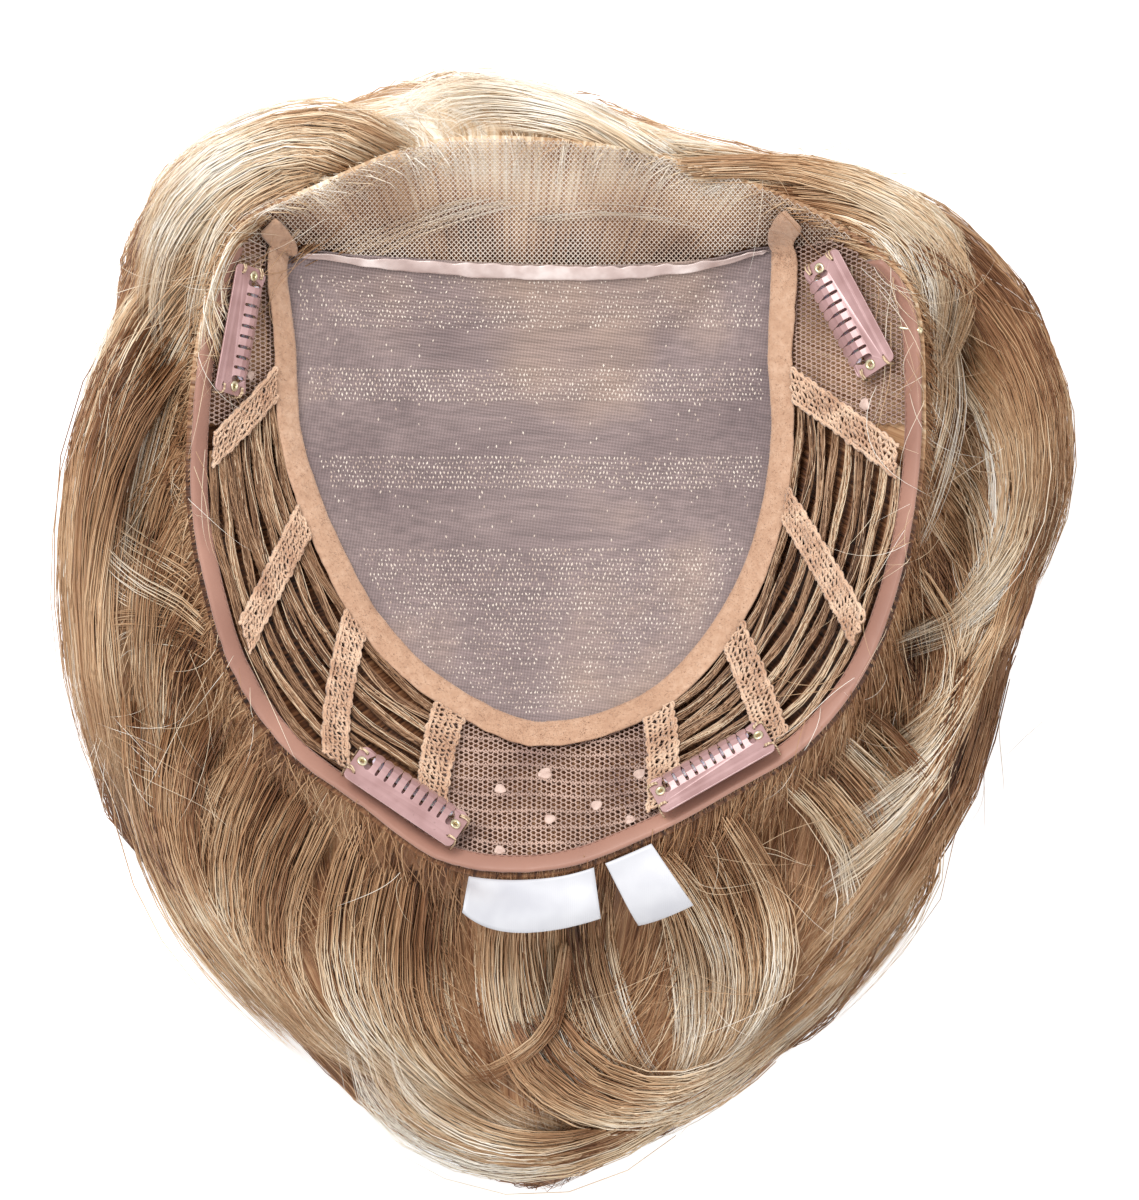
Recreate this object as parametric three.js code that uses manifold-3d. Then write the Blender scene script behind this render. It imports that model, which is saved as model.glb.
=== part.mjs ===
// A wiglet: a clip-in top hairpiece, lying on its hair with the open side of its cap up.
// Millimetres, +Z up, +Y towards the front hairline, origin on the table under the middle of the cap.
// The cap is a shallow bowl. A monofilament top is bound by a velour tape, a lace front is joined to
// it by a seam strip, and rows of hair weft run round its sides under lace straps to a ribbon edge.
import * as THREE from "three";
import { mergeVertices } from "three/addons/utils/BufferGeometryUtils.js";
import Module from "manifold-3d";

const wasm = await Module();
wasm.setup();

// Cap
const CAP_HALF = 96; // half the width, and half the length, of the cap seen from above
const CAP_DEPTH = 42; // from the crown up to the rim
const TOP_RISE = 14; // from the crown up to the edge of the monofilament top
const CROWN_X = -4;
const CROWN_Y = 8;
const BOWL_CURVE = 1.15; // how the band steepens towards the rim: 1 is a straight cone

// Hair
const CROWN_LIFT = 20; // hair pressed flat between the crown and the table
const HAIR_HALF_WIDTH = 134;
const HAIR_HALF_LENGTH = 149;
const HAIR_SHIFT_X = 2.6; // the middle of the hair, from the middle of the cap
const HAIR_SHIFT_Y = -34.5;
const HAIR_EDGE = 8; // height of the hair's outer edge above the table
const HAIR_LIP = 2; // how far the hair starts below the rim
const HAIR_FOOT = 2; // the lowest that a lock reaches above the table
const HAIR_UNDER = 1.2; // clearance between the hair and the cap
const LOCK_WIDTH = 20;
const LOCK_HEIGHT = 8;
const LOCK_TIP = 0.3; // the width of a lock's end, as a share of its middle

// Cap materials
const NET = 1; // thickness of the monofilament top, the nets and the lace
const LAYER_GAP = 0.5; // clearance between two layers
const SEAM_GAP = 0.3; // clearance between two pieces side by side
const TAPE_WIDTH = 8.5;
const TAPE_THICK = 1.2;
const TAPE_OVERLAP = 1; // how far the tape covers the monofilament top
const STRIP_WIDTH = 3.2;
const STRIP_THICK = 0.8;
const RIBBON_WIDTH = 6.5;
const RIBBON_THICK = 1.8;
const WEFT_WIDTH = 2;
const WEFT_THICK = 2;
const WEFT_WAVE = 0.3; // how far a weft wanders from its line
const WEFTS_PER_SIDE = 9;
const STRAP_WIDTH = 9;
const STRAP_THICK = 1;

// Clips
const CLIP_LENGTH = 34;
const CLIP_DEPTH = 13;
const CLIP_SHEET = 0.6;
const CLIP_SPINE = 5;
const CLIP_TAB = 4.4;
const CLIP_TEETH = 9;
const TOOTH_SHARE = 0.62; // a tooth's width, as a share of the pitch of the teeth
const TAB_LENGTH = 8.6; // the end tabs, from the back of the spine
const CLIP_BOW = 1.8; // how far the middle of the bar bows away from the comb
const BAR_WIDTH = 3;
const BAR_PLACE = 7; // the bar's middle, from the back of the spine
const GRIP_WIDTH = 1.8;
const GRIP_THICK = 0.8;
const GRIP_SHARE = 0.6; // the grip's length, as a share of the clip's
const RIVET_RADIUS = 0.7;
const RIVET_HEAD = 1.5;
const RIVET_HEAD_THICK = 0.3;
const CLIP_GAP = 0.3;
const CLIP_CORNER = 1.2;
const FRONT_CLIP_LIFT = 4.1; // from the net up to the comb's lower face
const NAPE_CLIP_LIFT = 6.6;

// Labels
const LABEL_THICK = 1;
const WIDE_LABEL_WIDTH = 33;
const WIDE_LABEL_LENGTH = 14;
const NARROW_LABEL_WIDTH = 13;
const NARROW_LABEL_LENGTH = 19;
const NARROW_LABEL_SKEW = 6;
const LABEL_DROP = 0.3; // how far a label falls for each millimetre that it stands out

const crownPoint = new THREE.Vector3(CROWN_X, CROWN_Y, CROWN_LIFT);
const rimHeight = CROWN_LIFT + CAP_DEPTH;

function table(columns, rows) {
  return rows.map((row) => Object.fromEntries(columns.map((name, i) => [name, row[i]])));
}

// Sections round the cap, from the left front corner by the nape to the right front corner and back
// along the hairline. inner is the edge of the monofilament top, and rim is the cap's edge, both as
// shares of CAP_HALF. rimZ is a share of CAP_DEPTH. hair is the outer edge of the hair, as shares of its
// half sizes, and dip and hump are the hair's heights near the rim and further out, as shares of the rim's.
const STATIONS = table(
  ["place", "innerX", "innerY", "rimX", "rimY", "rimZ", "hairX", "hairY", "dip", "hump"],
  [
    ["left front corner", -0.74, 0.66, -0.91, 0.66, 0.96, -0.85, 0.74, 0.62, 0.7],
    ["left clip", -0.71, 0.43, -0.97, 0.46, 1, -0.89, 0.6, 0.5, 0.68],
    ["left temple", -0.69, 0.19, -1, 0.19, 1, -0.94, 0.41, 0.42, 0.66],
    ["left side", -0.64, 0.03, -1, -0.03, 1, -0.99, 0.23, 0.4, 0.62],
    ["left side back", -0.57, -0.14, -0.96, -0.25, 1, -1, 0.05, 0.42, 0.58],
    ["left back quarter", -0.48, -0.31, -0.89, -0.47, 1, -0.96, -0.18, 0.45, 0.52],
    ["left back", -0.35, -0.46, -0.75, -0.68, 1, -0.87, -0.39, 0.5, 0.48],
    ["left nape clip", -0.2, -0.56, -0.54, -0.84, 1, -0.67, -0.61, 0.55, 0.45],
    ["left nape", -0.07, -0.61, -0.3, -1, 1, -0.4, -0.85, 0.55, 0.42],
    ["nape middle", 0.01, -0.61, 0, -1.02, 1, -0.09, -1, 0.55, 0.42],
    ["right nape", 0.12, -0.59, 0.28, -0.92, 1, 0.15, -0.93, 0.55, 0.42],
    ["right nape clip", 0.27, -0.52, 0.5, -0.8, 1, 0.37, -0.8, 0.52, 0.46],
    ["right back", 0.4, -0.39, 0.68, -0.69, 1, 0.56, -0.67, 0.48, 0.52],
    ["right back quarter", 0.51, -0.21, 0.84, -0.5, 1, 0.71, -0.44, 0.42, 0.58],
    ["right side back", 0.57, -0.03, 0.93, -0.29, 1, 0.81, -0.22, 0.4, 0.62],
    ["right side", 0.6, 0.19, 0.99, -0.03, 1, 0.93, 0.05, 0.4, 0.66],
    ["right temple", 0.59, 0.41, 1.01, 0.25, 1, 1, 0.34, 0.42, 0.7],
    ["right clip", 0.6, 0.66, 0.97, 0.58, 0.98, 0.93, 0.59, 0.5, 0.72],
    ["right front corner", 0.6, 0.7, 0.77, 0.75, 0.92, 0.78, 0.74, 0.62, 0.72],
    ["right lace", 0.4, 0.66, 0.58, 0.85, 0.84, 0.58, 0.82, 0.7, 0.65],
    ["right hairline", 0.18, 0.64, 0.3, 0.94, 0.8, 0.27, 0.88, 0.72, 0.6],
    ["front middle", -0.06, 0.64, -0.03, 0.99, 0.8, -0.01, 0.97, 0.72, 0.6],
    ["left hairline", -0.29, 0.65, -0.35, 0.98, 0.8, -0.25, 0.99, 0.72, 0.6],
    ["left lace", -0.52, 0.67, -0.65, 0.86, 0.84, -0.49, 0.93, 0.7, 0.65],
    ["left front", -0.73, 0.69, -0.86, 0.75, 0.92, -0.73, 0.87, 0.68, 0.7],
  ],
);
const STATION_STEP = 0.5; // stations between two columns of a surface

// Where each strap crosses the band, as stations at its inner and its outer end
const STRAPS = table(
  ["name", "inner", "outer"],
  [
    ["strap_left_1", 1.45, 2.25],
    ["strap_left_2", 3.4, 4.7],
    ["strap_left_3", 5, 6.5],
    ["strap_left_4", 6.8, 7.7],
    ["strap_right_4", 10.85, 10.2],
    ["strap_right_3", 12.4, 11.8],
    ["strap_right_2", 14.3, 13.5],
    ["strap_right_1", 15.75, 15.4],
  ],
);
const strapNamed = Object.fromEntries(STRAPS.map((strap) => [strap.name, strap]));
const TAPE_ENDS = [-0.85, 17.85]; // stations where the velour tape starts and stops
const RIBBON_ENDS = [-0.4, 17.4];
const RIBBON_STEP = 0.3; // finer, for its edge turns the sharpest corners
const LACE_ENDS = [18, 24];
const STRIP_ENDS = [18.1, 23.9];

// Locks of hair fused to the hair's body, each from under the rim to its tip. reach 1 is the rim and
// 2 the hair's outer edge. width and height are shares of LOCK_WIDTH and LOCK_HEIGHT.
const LOCKS = table(
  ["name", "fromStation", "fromReach", "toStation", "toReach", "width", "height"],
  [
    ["front wave", 20.6, 1.1, 22.6, 1.78, 1, 0.75],
    ["front swirl", 21.8, 1.1, 23.9, 1.75, 1.1, 1],
    ["left front sweep", 23, 1.15, 25.8, 1.8, 1.2, 1],
    ["left front fall", 24, 1.1, 27, 1.75, 1.1, 0.88],
    ["left outer roll", 25.2, 1.5, 29.2, 1.85, 1, 1.12],
    ["left inner roll", 25.8, 1.35, 28.6, 1.7, 0.8, 0.88],
    ["left side spray", 27.6, 1.05, 29.4, 1.6, 0.8, 0.5],
    ["left lower roll", 28.4, 1.5, 31.4, 1.84, 0.9, 1],
    ["left side fall", 28.8, 1.1, 31, 1.75, 0.9, 0.62],
    ["left back sweep", 29.8, 1.25, 32.6, 1.86, 1, 0.88],
    ["left back fall", 31, 1.1, 32.6, 1.8, 1.1, 0.75],
    ["nape left fall", 32.4, 1.08, 33.4, 1.84, 1.1, 0.75],
    ["nape left curl", 32, 1.75, 34.3, 1.9, 1, 1.12],
    ["nape fall", 33.6, 1.1, 34.1, 1.82, 1, 0.75],
    ["nape right fall", 34.9, 1.1, 35.2, 1.75, 1, 0.75],
    ["right nape sweep", 37.2, 1.2, 34.6, 1.86, 1.1, 1],
    ["right back sweep", 38.4, 1.15, 36, 1.84, 1, 0.88],
    ["right lower roll", 40, 1.4, 37.4, 1.84, 0.9, 1],
    ["right side fall", 39.6, 1.1, 38.4, 1.65, 0.8, 0.62],
    ["right outer roll", 42.6, 1.55, 39.2, 1.85, 1, 1.12],
    ["right front fall", 44.2, 1.15, 41.6, 1.7, 1, 1],
    ["right front wave", 45.4, 1.15, 43, 1.75, 1, 0.75],
  ],
);

// Where the middle of each clip is sewn. turn is how much reach its second end has over its first.
const CLIPS = table(
  ["name", "station", "reach", "turn", "lift"],
  [
    ["clip_front_left", 0.85, 0.68, 0.04, FRONT_CLIP_LIFT],
    ["clip_front_right", 16.92, 0.68, -0.16, FRONT_CLIP_LIFT],
    ["clip_nape_left", 7.3, 0.86, 0, NAPE_CLIP_LIFT],
    ["clip_nape_right", 10.97, 0.86, 0, NAPE_CLIP_LIFT],
  ],
);

// Where the middle of each label is sewn. skew is how far its free end lies to the side.
const LABELS = table(
  ["name", "station", "width", "length", "skew"],
  [
    ["label_wide", 8.8, WIDE_LABEL_WIDTH, WIDE_LABEL_LENGTH, 0],
    ["label_narrow", 9.87, NARROW_LABEL_WIDTH, NARROW_LABEL_LENGTH, NARROW_LABEL_SKEW],
  ],
);

// Closed curves through the stations
function loopThrough(pointOf) {
  return new THREE.CatmullRomCurve3(STATIONS.map(pointOf), true);
}

const innerLoop = loopThrough(
  (s) => new THREE.Vector3(s.innerX * CAP_HALF, s.innerY * CAP_HALF, CROWN_LIFT + TOP_RISE),
);
const rimLoop = loopThrough(
  (s) => new THREE.Vector3(s.rimX * CAP_HALF, s.rimY * CAP_HALF, CROWN_LIFT + s.rimZ * CAP_DEPTH),
);
const hairLoop = loopThrough(
  (s) =>
    new THREE.Vector3(
      s.hairX * HAIR_HALF_WIDTH + HAIR_SHIFT_X,
      s.hairY * HAIR_HALF_LENGTH + HAIR_SHIFT_Y,
      s.hump * rimHeight,
    ),
);
const dipLoop = loopThrough((s) => new THREE.Vector3(0, 0, s.dip * rimHeight));

function at(loop, station) {
  const share = station / STATIONS.length;
  return loop.getPoint(share - Math.floor(share));
}

// A point on the face of the cap that lies against the hair. reach is -1 at the crown, 0 at the edge of
// the monofilament top and 1 at the rim.
function cap(station, reach) {
  const inner = at(innerLoop, station);
  if (reach <= 0) {
    const share = 1 + reach;
    const point = crownPoint.clone().lerp(inner, share);
    point.z = crownPoint.z + (inner.z - crownPoint.z) * share * share;
    return point;
  }
  const rim = at(rimLoop, station);
  const point = inner.clone().lerp(rim, reach);
  point.z = inner.z + (rim.z - inner.z) * Math.pow(reach, BOWL_CURVE);
  return point;
}

const NORMAL_STEP = { station: 0.25, reach: 0.08 };

function capNormal(station, reach) {
  if (reach < NORMAL_STEP.reach - 1) return new THREE.Vector3(0, 0, 1);
  const along = cap(station + NORMAL_STEP.station, reach).sub(cap(station - NORMAL_STEP.station, reach));
  const across = cap(station, reach + NORMAL_STEP.reach).sub(cap(station, reach - NORMAL_STEP.reach));
  const normal = along.cross(across).normalize();
  return normal.z < 0 ? normal.negate() : normal;
}

// A point above the cap's outer face, on its normal
function onCap(station, reach, lift) {
  return cap(station, reach).addScaledVector(capNormal(station, reach), lift);
}

// A distance from the edge of the monofilament top, as reach; negative is towards the crown
function fromTop(station, distance) {
  const inner = at(innerLoop, station);
  const end = distance < 0 ? crownPoint : at(rimLoop, station);
  return distance / inner.distanceTo(end);
}

// A distance in from the rim, as reach
function fromRim(station, distance) {
  return 1 - distance / at(innerLoop, station).distanceTo(at(rimLoop, station));
}

// A distance along the cap, as stations
function alongCap(station, reach, distance) {
  const half = NORMAL_STEP.station;
  const length = cap(station + half, reach).distanceTo(cap(station - half, reach));
  return (distance * 2 * half) / length;
}

function mix(a, b, share) {
  return a + (b - a) * share;
}

function smooth(share) {
  return share * share * (3 - 2 * share);
}

// The hair's top face outside the rim
const HAIR_PROFILE = { dip: 1.35, hump: 1.78, edge: 2 };

function hairTop(station, reach) {
  const rim = at(rimLoop, station);
  const edge = at(hairLoop, station);
  const heights = [rim.z - HAIR_LIP, at(dipLoop, station).z, edge.z, HAIR_EDGE];
  const reaches = [1, HAIR_PROFILE.dip, HAIR_PROFILE.hump, HAIR_PROFILE.edge];
  const span = reaches.findIndex((r, i) => i === 2 || reach <= reaches[i + 1]);
  const share = (reach - reaches[span]) / (reaches[span + 1] - reaches[span]);
  const point = rim.clone().lerp(edge, reach - 1);
  point.z = mix(heights[span], heights[span + 1], smooth(THREE.MathUtils.clamp(share, 0, 1)));
  return point;
}

// Triangles in, geometry out. Triangles with no area are left out, and all face outwards.
function geometryOf(triangles) {
  const real = triangles.filter(
    ([a, b, c]) => a.distanceTo(b) > 1e-4 && b.distanceTo(c) > 1e-4 && c.distanceTo(a) > 1e-4,
  );
  const volume = real.reduce((sum, [a, b, c]) => sum + a.dot(b.clone().cross(c)), 0);
  const points = real.flatMap(([a, b, c]) => (volume < 0 ? [a, c, b] : [a, b, c]));
  return new THREE.BufferGeometry().setFromPoints(points);
}

function quad(a, b, c, d) {
  return [
    [a, b, c],
    [a, c, d],
  ];
}

// A sheet with two faces and a wall round its edge and round each open cell.
// pointAt(i, j, face) gives the corners; face 0 is the lower face and 1 the upper one.
function sheet(columns, rows, pointAt, { closed = false, isOpen = () => false } = {}) {
  const corner = (i, j, face) => pointAt(closed ? i % columns : i, j, face);
  const filled = (i, j) => {
    if (j < 0 || j >= rows) return false;
    if (closed) return !isOpen((i + columns) % columns, j);
    return i >= 0 && i < columns && !isOpen(i, j);
  };
  const triangles = [];
  for (let i = 0; i < columns; i++) {
    for (let j = 0; j < rows; j++) {
      if (!filled(i, j)) continue;
      const low = [corner(i, j, 0), corner(i + 1, j, 0), corner(i + 1, j + 1, 0), corner(i, j + 1, 0)];
      const high = [corner(i, j, 1), corner(i + 1, j, 1), corner(i + 1, j + 1, 1), corner(i, j + 1, 1)];
      triangles.push(...quad(...high), ...quad(low[0], low[3], low[2], low[1]));
      const sides = [
        [i, j - 1, 0, 1],
        [i + 1, j, 1, 2],
        [i, j + 1, 2, 3],
        [i - 1, j, 3, 0],
      ];
      for (const [nextI, nextJ, a, b] of sides) {
        if (!filled(nextI, nextJ)) triangles.push(...quad(low[a], low[b], high[b], high[a]));
      }
    }
  }
  return geometryOf(triangles);
}

function solidOf(geometry) {
  const merged = mergeVertices(geometry, 1e-3);
  return new wasm.Manifold(
    new wasm.Mesh({
      numProp: 3,
      vertProperties: merged.attributes.position.array,
      triVerts: new Uint32Array(merged.index.array),
    }),
  );
}

function geometryFrom(solid) {
  const mesh = solid.getMesh();
  const geometry = new THREE.BufferGeometry();
  geometry.setAttribute("position", new THREE.BufferAttribute(mesh.vertProperties, 3));
  geometry.setIndex(new THREE.BufferAttribute(mesh.triVerts, 1));
  return geometry;
}

const MATERIALS = {
  hair: new THREE.MeshStandardMaterial({ color: 0xb89a72, roughness: 0.45 }),
  monofilament: new THREE.MeshStandardMaterial({ color: 0xa89692, roughness: 0.6 }),
  lace: new THREE.MeshStandardMaterial({ color: 0xb9a184, roughness: 0.7 }),
  strip: new THREE.MeshStandardMaterial({ color: 0xe6d6d2, roughness: 0.3 }),
  velour: new THREE.MeshStandardMaterial({ color: 0xd0a684, roughness: 0.9 }),
  ribbon: new THREE.MeshStandardMaterial({ color: 0xc1978a, roughness: 0.55 }),
  net: new THREE.MeshStandardMaterial({ color: 0xc09a82, roughness: 0.8 }),
  weft: new THREE.MeshStandardMaterial({ color: 0x8f7350, roughness: 0.6 }),
  enamel: new THREE.MeshStandardMaterial({ color: 0xb48f8b, roughness: 0.4, metalness: 0.3 }),
  silicone: new THREE.MeshStandardMaterial({ color: 0xddd0d0, roughness: 0.3 }),
  brass: new THREE.MeshStandardMaterial({ color: 0xc9b27a, roughness: 0.3, metalness: 1 }),
  satin: new THREE.MeshStandardMaterial({ color: 0xf3f3f5, roughness: 0.5 }),
};

const wiglet = new THREE.Group();

function add(name, geometry, material) {
  const mesh = new THREE.Mesh(geometry, material);
  mesh.name = name;
  wiglet.add(mesh);
  return mesh;
}

// A solid from lines round the cap, each a point for a station, from the first line to the last
function turned(lines) {
  const columns = STATIONS.length / STATION_STEP;
  const triangles = [];
  for (let i = 0; i < columns; i++) {
    const here = lines.map((line) => line(i * STATION_STEP));
    const next = lines.map((line) => line(((i + 1) % columns) * STATION_STEP));
    for (let j = 0; j + 1 < lines.length; j++) {
      triangles.push(...quad(here[j], next[j], next[j + 1], here[j + 1]));
    }
  }
  return solidOf(geometryOf(triangles));
}

// The hair's body: a mat under the cap and a brim that lies on the table, with a flat underside
const BRIM_REACHES = [1, 1.12, 1.25, 1.4, 1.55, 1.7, 1.83, 1.93, 2];
const UNDERSIDE_REACH = 1.93;

function hairBody() {
  return turned([
    (station) => cap(station, -1).setZ(CROWN_LIFT + CAP_DEPTH / 2),
    (station) => at(rimLoop, station).setZ(CROWN_LIFT + CAP_DEPTH / 2),
    ...BRIM_REACHES.map((reach) => (station) => hairTop(station, reach)),
    (station) => hairTop(station, UNDERSIDE_REACH).setZ(0),
    () => crownPoint.clone().setZ(0),
  ]);
}

// One lock: it leaves the cap outwards, turns along the edge and narrows to its tip. Its section is
// an arch that stands on the hair below it.
const LOCK_ARCH = 3;
const LOCK_STEPS = 6;

function lockSolid(lock) {
  const centre = (share) => {
    const turned = 1 - Math.cos((share * Math.PI) / 2);
    const out = Math.sin((share * Math.PI) / 2);
    const station = mix(lock.fromStation, lock.toStation, mix(share, turned, 0.5));
    return hairTop(station, mix(lock.fromReach, lock.toReach, out));
  };
  const rings = [];
  for (let step = 0; step <= LOCK_STEPS; step++) {
    const share = step / LOCK_STEPS;
    const middle = centre(share);
    const heading = centre(Math.min(share + 0.04, 1)).sub(centre(Math.max(share - 0.04, 0)));
    const side = new THREE.Vector3(-heading.y, heading.x, 0).normalize();
    const size = mix(LOCK_TIP, 1, Math.sin(Math.PI * mix(0.2, 0.96, share)));
    const pointAt = (sideways, height) =>
      middle.clone().addScaledVector(side, (sideways * size * lock.width * LOCK_WIDTH) / 2).setZ(height);
    const ring = [pointAt(-1, HAIR_FOOT), pointAt(1, HAIR_FOOT)];
    for (let i = 0; i <= LOCK_ARCH; i++) {
      const angle = (i * Math.PI) / LOCK_ARCH;
      ring.push(pointAt(Math.cos(angle), middle.z + Math.sin(angle) * size * lock.height * LOCK_HEIGHT));
    }
    rings.push(ring);
  }
  const sides = rings[0].length;
  const triangles = [];
  for (let step = 0; step < LOCK_STEPS; step++) {
    for (let i = 0; i < sides; i++) {
      const j = (i + 1) % sides;
      triangles.push(...quad(rings[step][i], rings[step][j], rings[step + 1][j], rings[step + 1][i]));
    }
  }
  for (let i = 1; i + 1 < sides; i++) {
    const last = rings[LOCK_STEPS];
    triangles.push([rings[0][0], rings[0][i + 1], rings[0][i]], [last[0], last[i], last[i + 1]]);
  }
  return solidOf(geometryOf(triangles));
}

// The space that the cap fills and opens on, taken out of the locks
const BOWL_REACHES = [-1, -0.72, -0.4, -0.12, 0, 0.25, 0.5, 0.75, 1];

function bowl() {
  const away = (station) => at(rimLoop, station).sub(crownPoint).setZ(0).setLength(SEAM_GAP);
  const lines = [
    ...BOWL_REACHES.map((reach) => (station) => onCap(station, reach, -HAIR_UNDER)),
    (station) => onCap(station, 1, -HAIR_UNDER).add(away(station)),
    (station) => onCap(station, 1, -HAIR_UNDER).add(away(station)).setZ(2 * rimHeight),
    () => crownPoint.clone().setZ(2 * rimHeight),
  ];
  return turned(lines);
}

const hair = LOCKS.reduce((body, lock) => body.add(lockSolid(lock)), hairBody()).subtract(bowl());
add("hair", geometryFrom(hair), MATERIALS.hair);

// Monofilament top: a round grid from the crown to the seam
const TOP_ROWS = 3;
add(
  "mono_top",
  sheet(
    STATIONS.length / STATION_STEP,
    TOP_ROWS,
    (i, j, face) => {
      const station = i * STATION_STEP;
      const edge = fromTop(station, -SEAM_GAP / 2);
      return onCap(station, mix(-1, edge, j / TOP_ROWS), face * NET);
    },
    { closed: true },
  ),
  MATERIALS.monofilament,
);

// A piece between two stations and two reaches, which may both change along it
function panel(columns, rows, stationAt, reachAt, low, high, isOpen) {
  return sheet(
    columns,
    rows,
    (i, j, face) => {
      const across = j / rows;
      const station = stationAt(i / columns, across);
      return onCap(station, reachAt(station, across), face ? high : low);
    },
    { isOpen },
  );
}

function columnsBetween(from, to, step = STATION_STEP) {
  return Math.ceil((to - from) / step);
}

// Lace front, from the seam to the hairline
add(
  "lace_front",
  panel(
    columnsBetween(...LACE_ENDS),
    4,
    (along) => mix(...LACE_ENDS, along),
    (station, across) => mix(fromTop(station, 2 * SEAM_GAP), 1, across),
    0,
    NET,
  ),
  MATERIALS.lace,
);

// Strip over the seam between the lace front and the monofilament top
add(
  "seam_strip",
  panel(
    columnsBetween(...STRIP_ENDS),
    2,
    (along) => mix(...STRIP_ENDS, along),
    (station, across) => fromTop(station, mix(-STRIP_WIDTH / 2, STRIP_WIDTH / 2, across)),
    NET + LAYER_GAP,
    NET + LAYER_GAP + STRIP_THICK,
  ),
  MATERIALS.strip,
);

// Velour tape round the monofilament top, open at the front
const TAPE_OUTER = TAPE_WIDTH - TAPE_OVERLAP;
add(
  "velour_tape",
  panel(
    columnsBetween(...TAPE_ENDS),
    2,
    (along) => mix(...TAPE_ENDS, along),
    (station, across) => fromTop(station, mix(-TAPE_OVERLAP, TAPE_OUTER, across)),
    NET + LAYER_GAP,
    NET + LAYER_GAP + TAPE_THICK,
  ),
  MATERIALS.velour,
);

// Ribbon along the rim
add(
  "edge_ribbon",
  panel(
    columnsBetween(...RIBBON_ENDS, RIBBON_STEP),
    1,
    (along) => mix(...RIBBON_ENDS, along),
    (station, across) => fromRim(station, RIBBON_WIDTH * (1 - across)),
    0,
    RIBBON_THICK,
  ),
  MATERIALS.ribbon,
);

// The band between the tape and the ribbon, as reaches
function band(station) {
  return [fromTop(station, TAPE_OUTER + SEAM_GAP), fromRim(station, RIBBON_WIDTH + SEAM_GAP)];
}

// The station where a strap's middle line crosses a reach
function strapAt(strap, reach) {
  const [start, end] = band((strap.inner + strap.outer) / 2);
  return mix(strap.inner, strap.outer, (reach - start) / (end - start));
}

// Nets between the top and the ribbon, cut through between their threads
const THREAD_SHARE = 0.4; // a net's thread, as a share of one mesh of it
const END_GAP = 0.08; // stations between a net or weft and the middle of the strap beside it

function threadLine(index, count) {
  // Lines 2n and 2n + 1 are the two sides of thread n.
  const pitch = 1 / (count + THREAD_SHARE);
  return (Math.floor(index / 2) + (index % 2) * THREAD_SHARE) * pitch;
}

const NETS = table(
  ["name", "from", "to", "holesAlong", "holesAcross"],
  [
    ["net_left", { inner: TAPE_ENDS[0], outer: TAPE_ENDS[0] }, strapNamed.strap_left_1, 5, 3],
    ["net_nape", strapNamed.strap_left_4, strapNamed.strap_right_4, 9, 3],
    ["net_right", strapNamed.strap_right_1, { inner: TAPE_ENDS[1], outer: TAPE_ENDS[1] }, 5, 3],
  ],
);

for (const net of NETS) {
  const columns = 2 * net.holesAlong + 1;
  const rows = 2 * net.holesAcross + 1;
  const reachAt = (station, outwards) =>
    mix(fromTop(station, SEAM_GAP), fromRim(station, RIBBON_WIDTH + 2 * SEAM_GAP), outwards);
  const edge = (strap, outwards) => strapAt(strap, reachAt((strap.inner + strap.outer) / 2, outwards));
  const thread = (across) => threadLine(Math.round(across * rows), net.holesAcross);
  add(
    net.name,
    panel(
      columns,
      rows,
      (along, across) => {
        const share = threadLine(Math.round(along * columns), net.holesAlong);
        const from = edge(net.from, thread(across)) + END_GAP;
        return mix(from, edge(net.to, thread(across)) - END_GAP, share);
      },
      (station, across) => reachAt(station, thread(across)),
      0,
      NET,
      (i, j) => i % 2 === 1 && j % 2 === 1,
    ),
    MATERIALS.net,
  );
}

// Wefts: rows of sewn hair, each side, from the first strap to the last
const WEFT_STEPS = 7;
const WEFT_LIFT = 0.2;

function addWefts(side, first, last) {
  for (let row = 0; row < WEFTS_PER_SIDE; row++) {
    const reachAt = (station) => {
      const [start, end] = band(station);
      const clear = fromTop(station, WEFT_WIDTH / 2 + WEFT_WAVE);
      return mix(start + clear, end - clear, row / (WEFTS_PER_SIDE - 1));
    };
    const edge = (strap) => strapAt(strap, reachAt((strap.inner + strap.outer) / 2));
    const from = edge(first) + END_GAP;
    const to = edge(last) - END_GAP;
    add(
      `weft_${side}_${row + 1}`,
      panel(
        WEFT_STEPS,
        1,
        (along) => mix(from, to, along),
        (station, across) => {
          const wave = WEFT_WAVE * Math.sin(5 * station + 2 * row);
          return reachAt(station) + fromTop(station, wave + WEFT_WIDTH * (across - 0.5));
        },
        WEFT_LIFT,
        WEFT_LIFT + WEFT_THICK,
      ),
      MATERIALS.weft,
    );
  }
}

addWefts("left", strapNamed.strap_left_1, strapNamed.strap_left_4);
addWefts("right", strapNamed.strap_right_4, strapNamed.strap_right_1);

// Lace straps across the wefts, from the tape to the ribbon, with a row of holes
const STRAP_HOLES = 4;
const STRAP_LIFT = WEFT_LIFT + WEFT_THICK + LAYER_GAP;
const STRAP_LINES = [-0.5, -0.2, 0.2, 0.5]; // across its width, as shares

for (const strap of STRAPS) {
  const rows = 2 * STRAP_HOLES + 1;
  const middleOf = (share) => {
    const station = mix(strap.inner, strap.outer, share);
    return [station, mix(...band(station), share)];
  };
  add(
    strap.name,
    sheet(
      STRAP_LINES.length - 1,
      rows,
      (i, j, face) => {
        const share = threadLine(j, STRAP_HOLES);
        const [middle, reach] = middleOf(share);
        const station = middle + alongCap(middle, reach, STRAP_WIDTH * STRAP_LINES[i]);
        return onCap(station, mix(...band(station), share), STRAP_LIFT + face * STRAP_THICK);
      },
      { isOpen: (i, j) => i === 1 && j % 2 === 1 },
    ),
    MATERIALS.net,
  );
}

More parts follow.
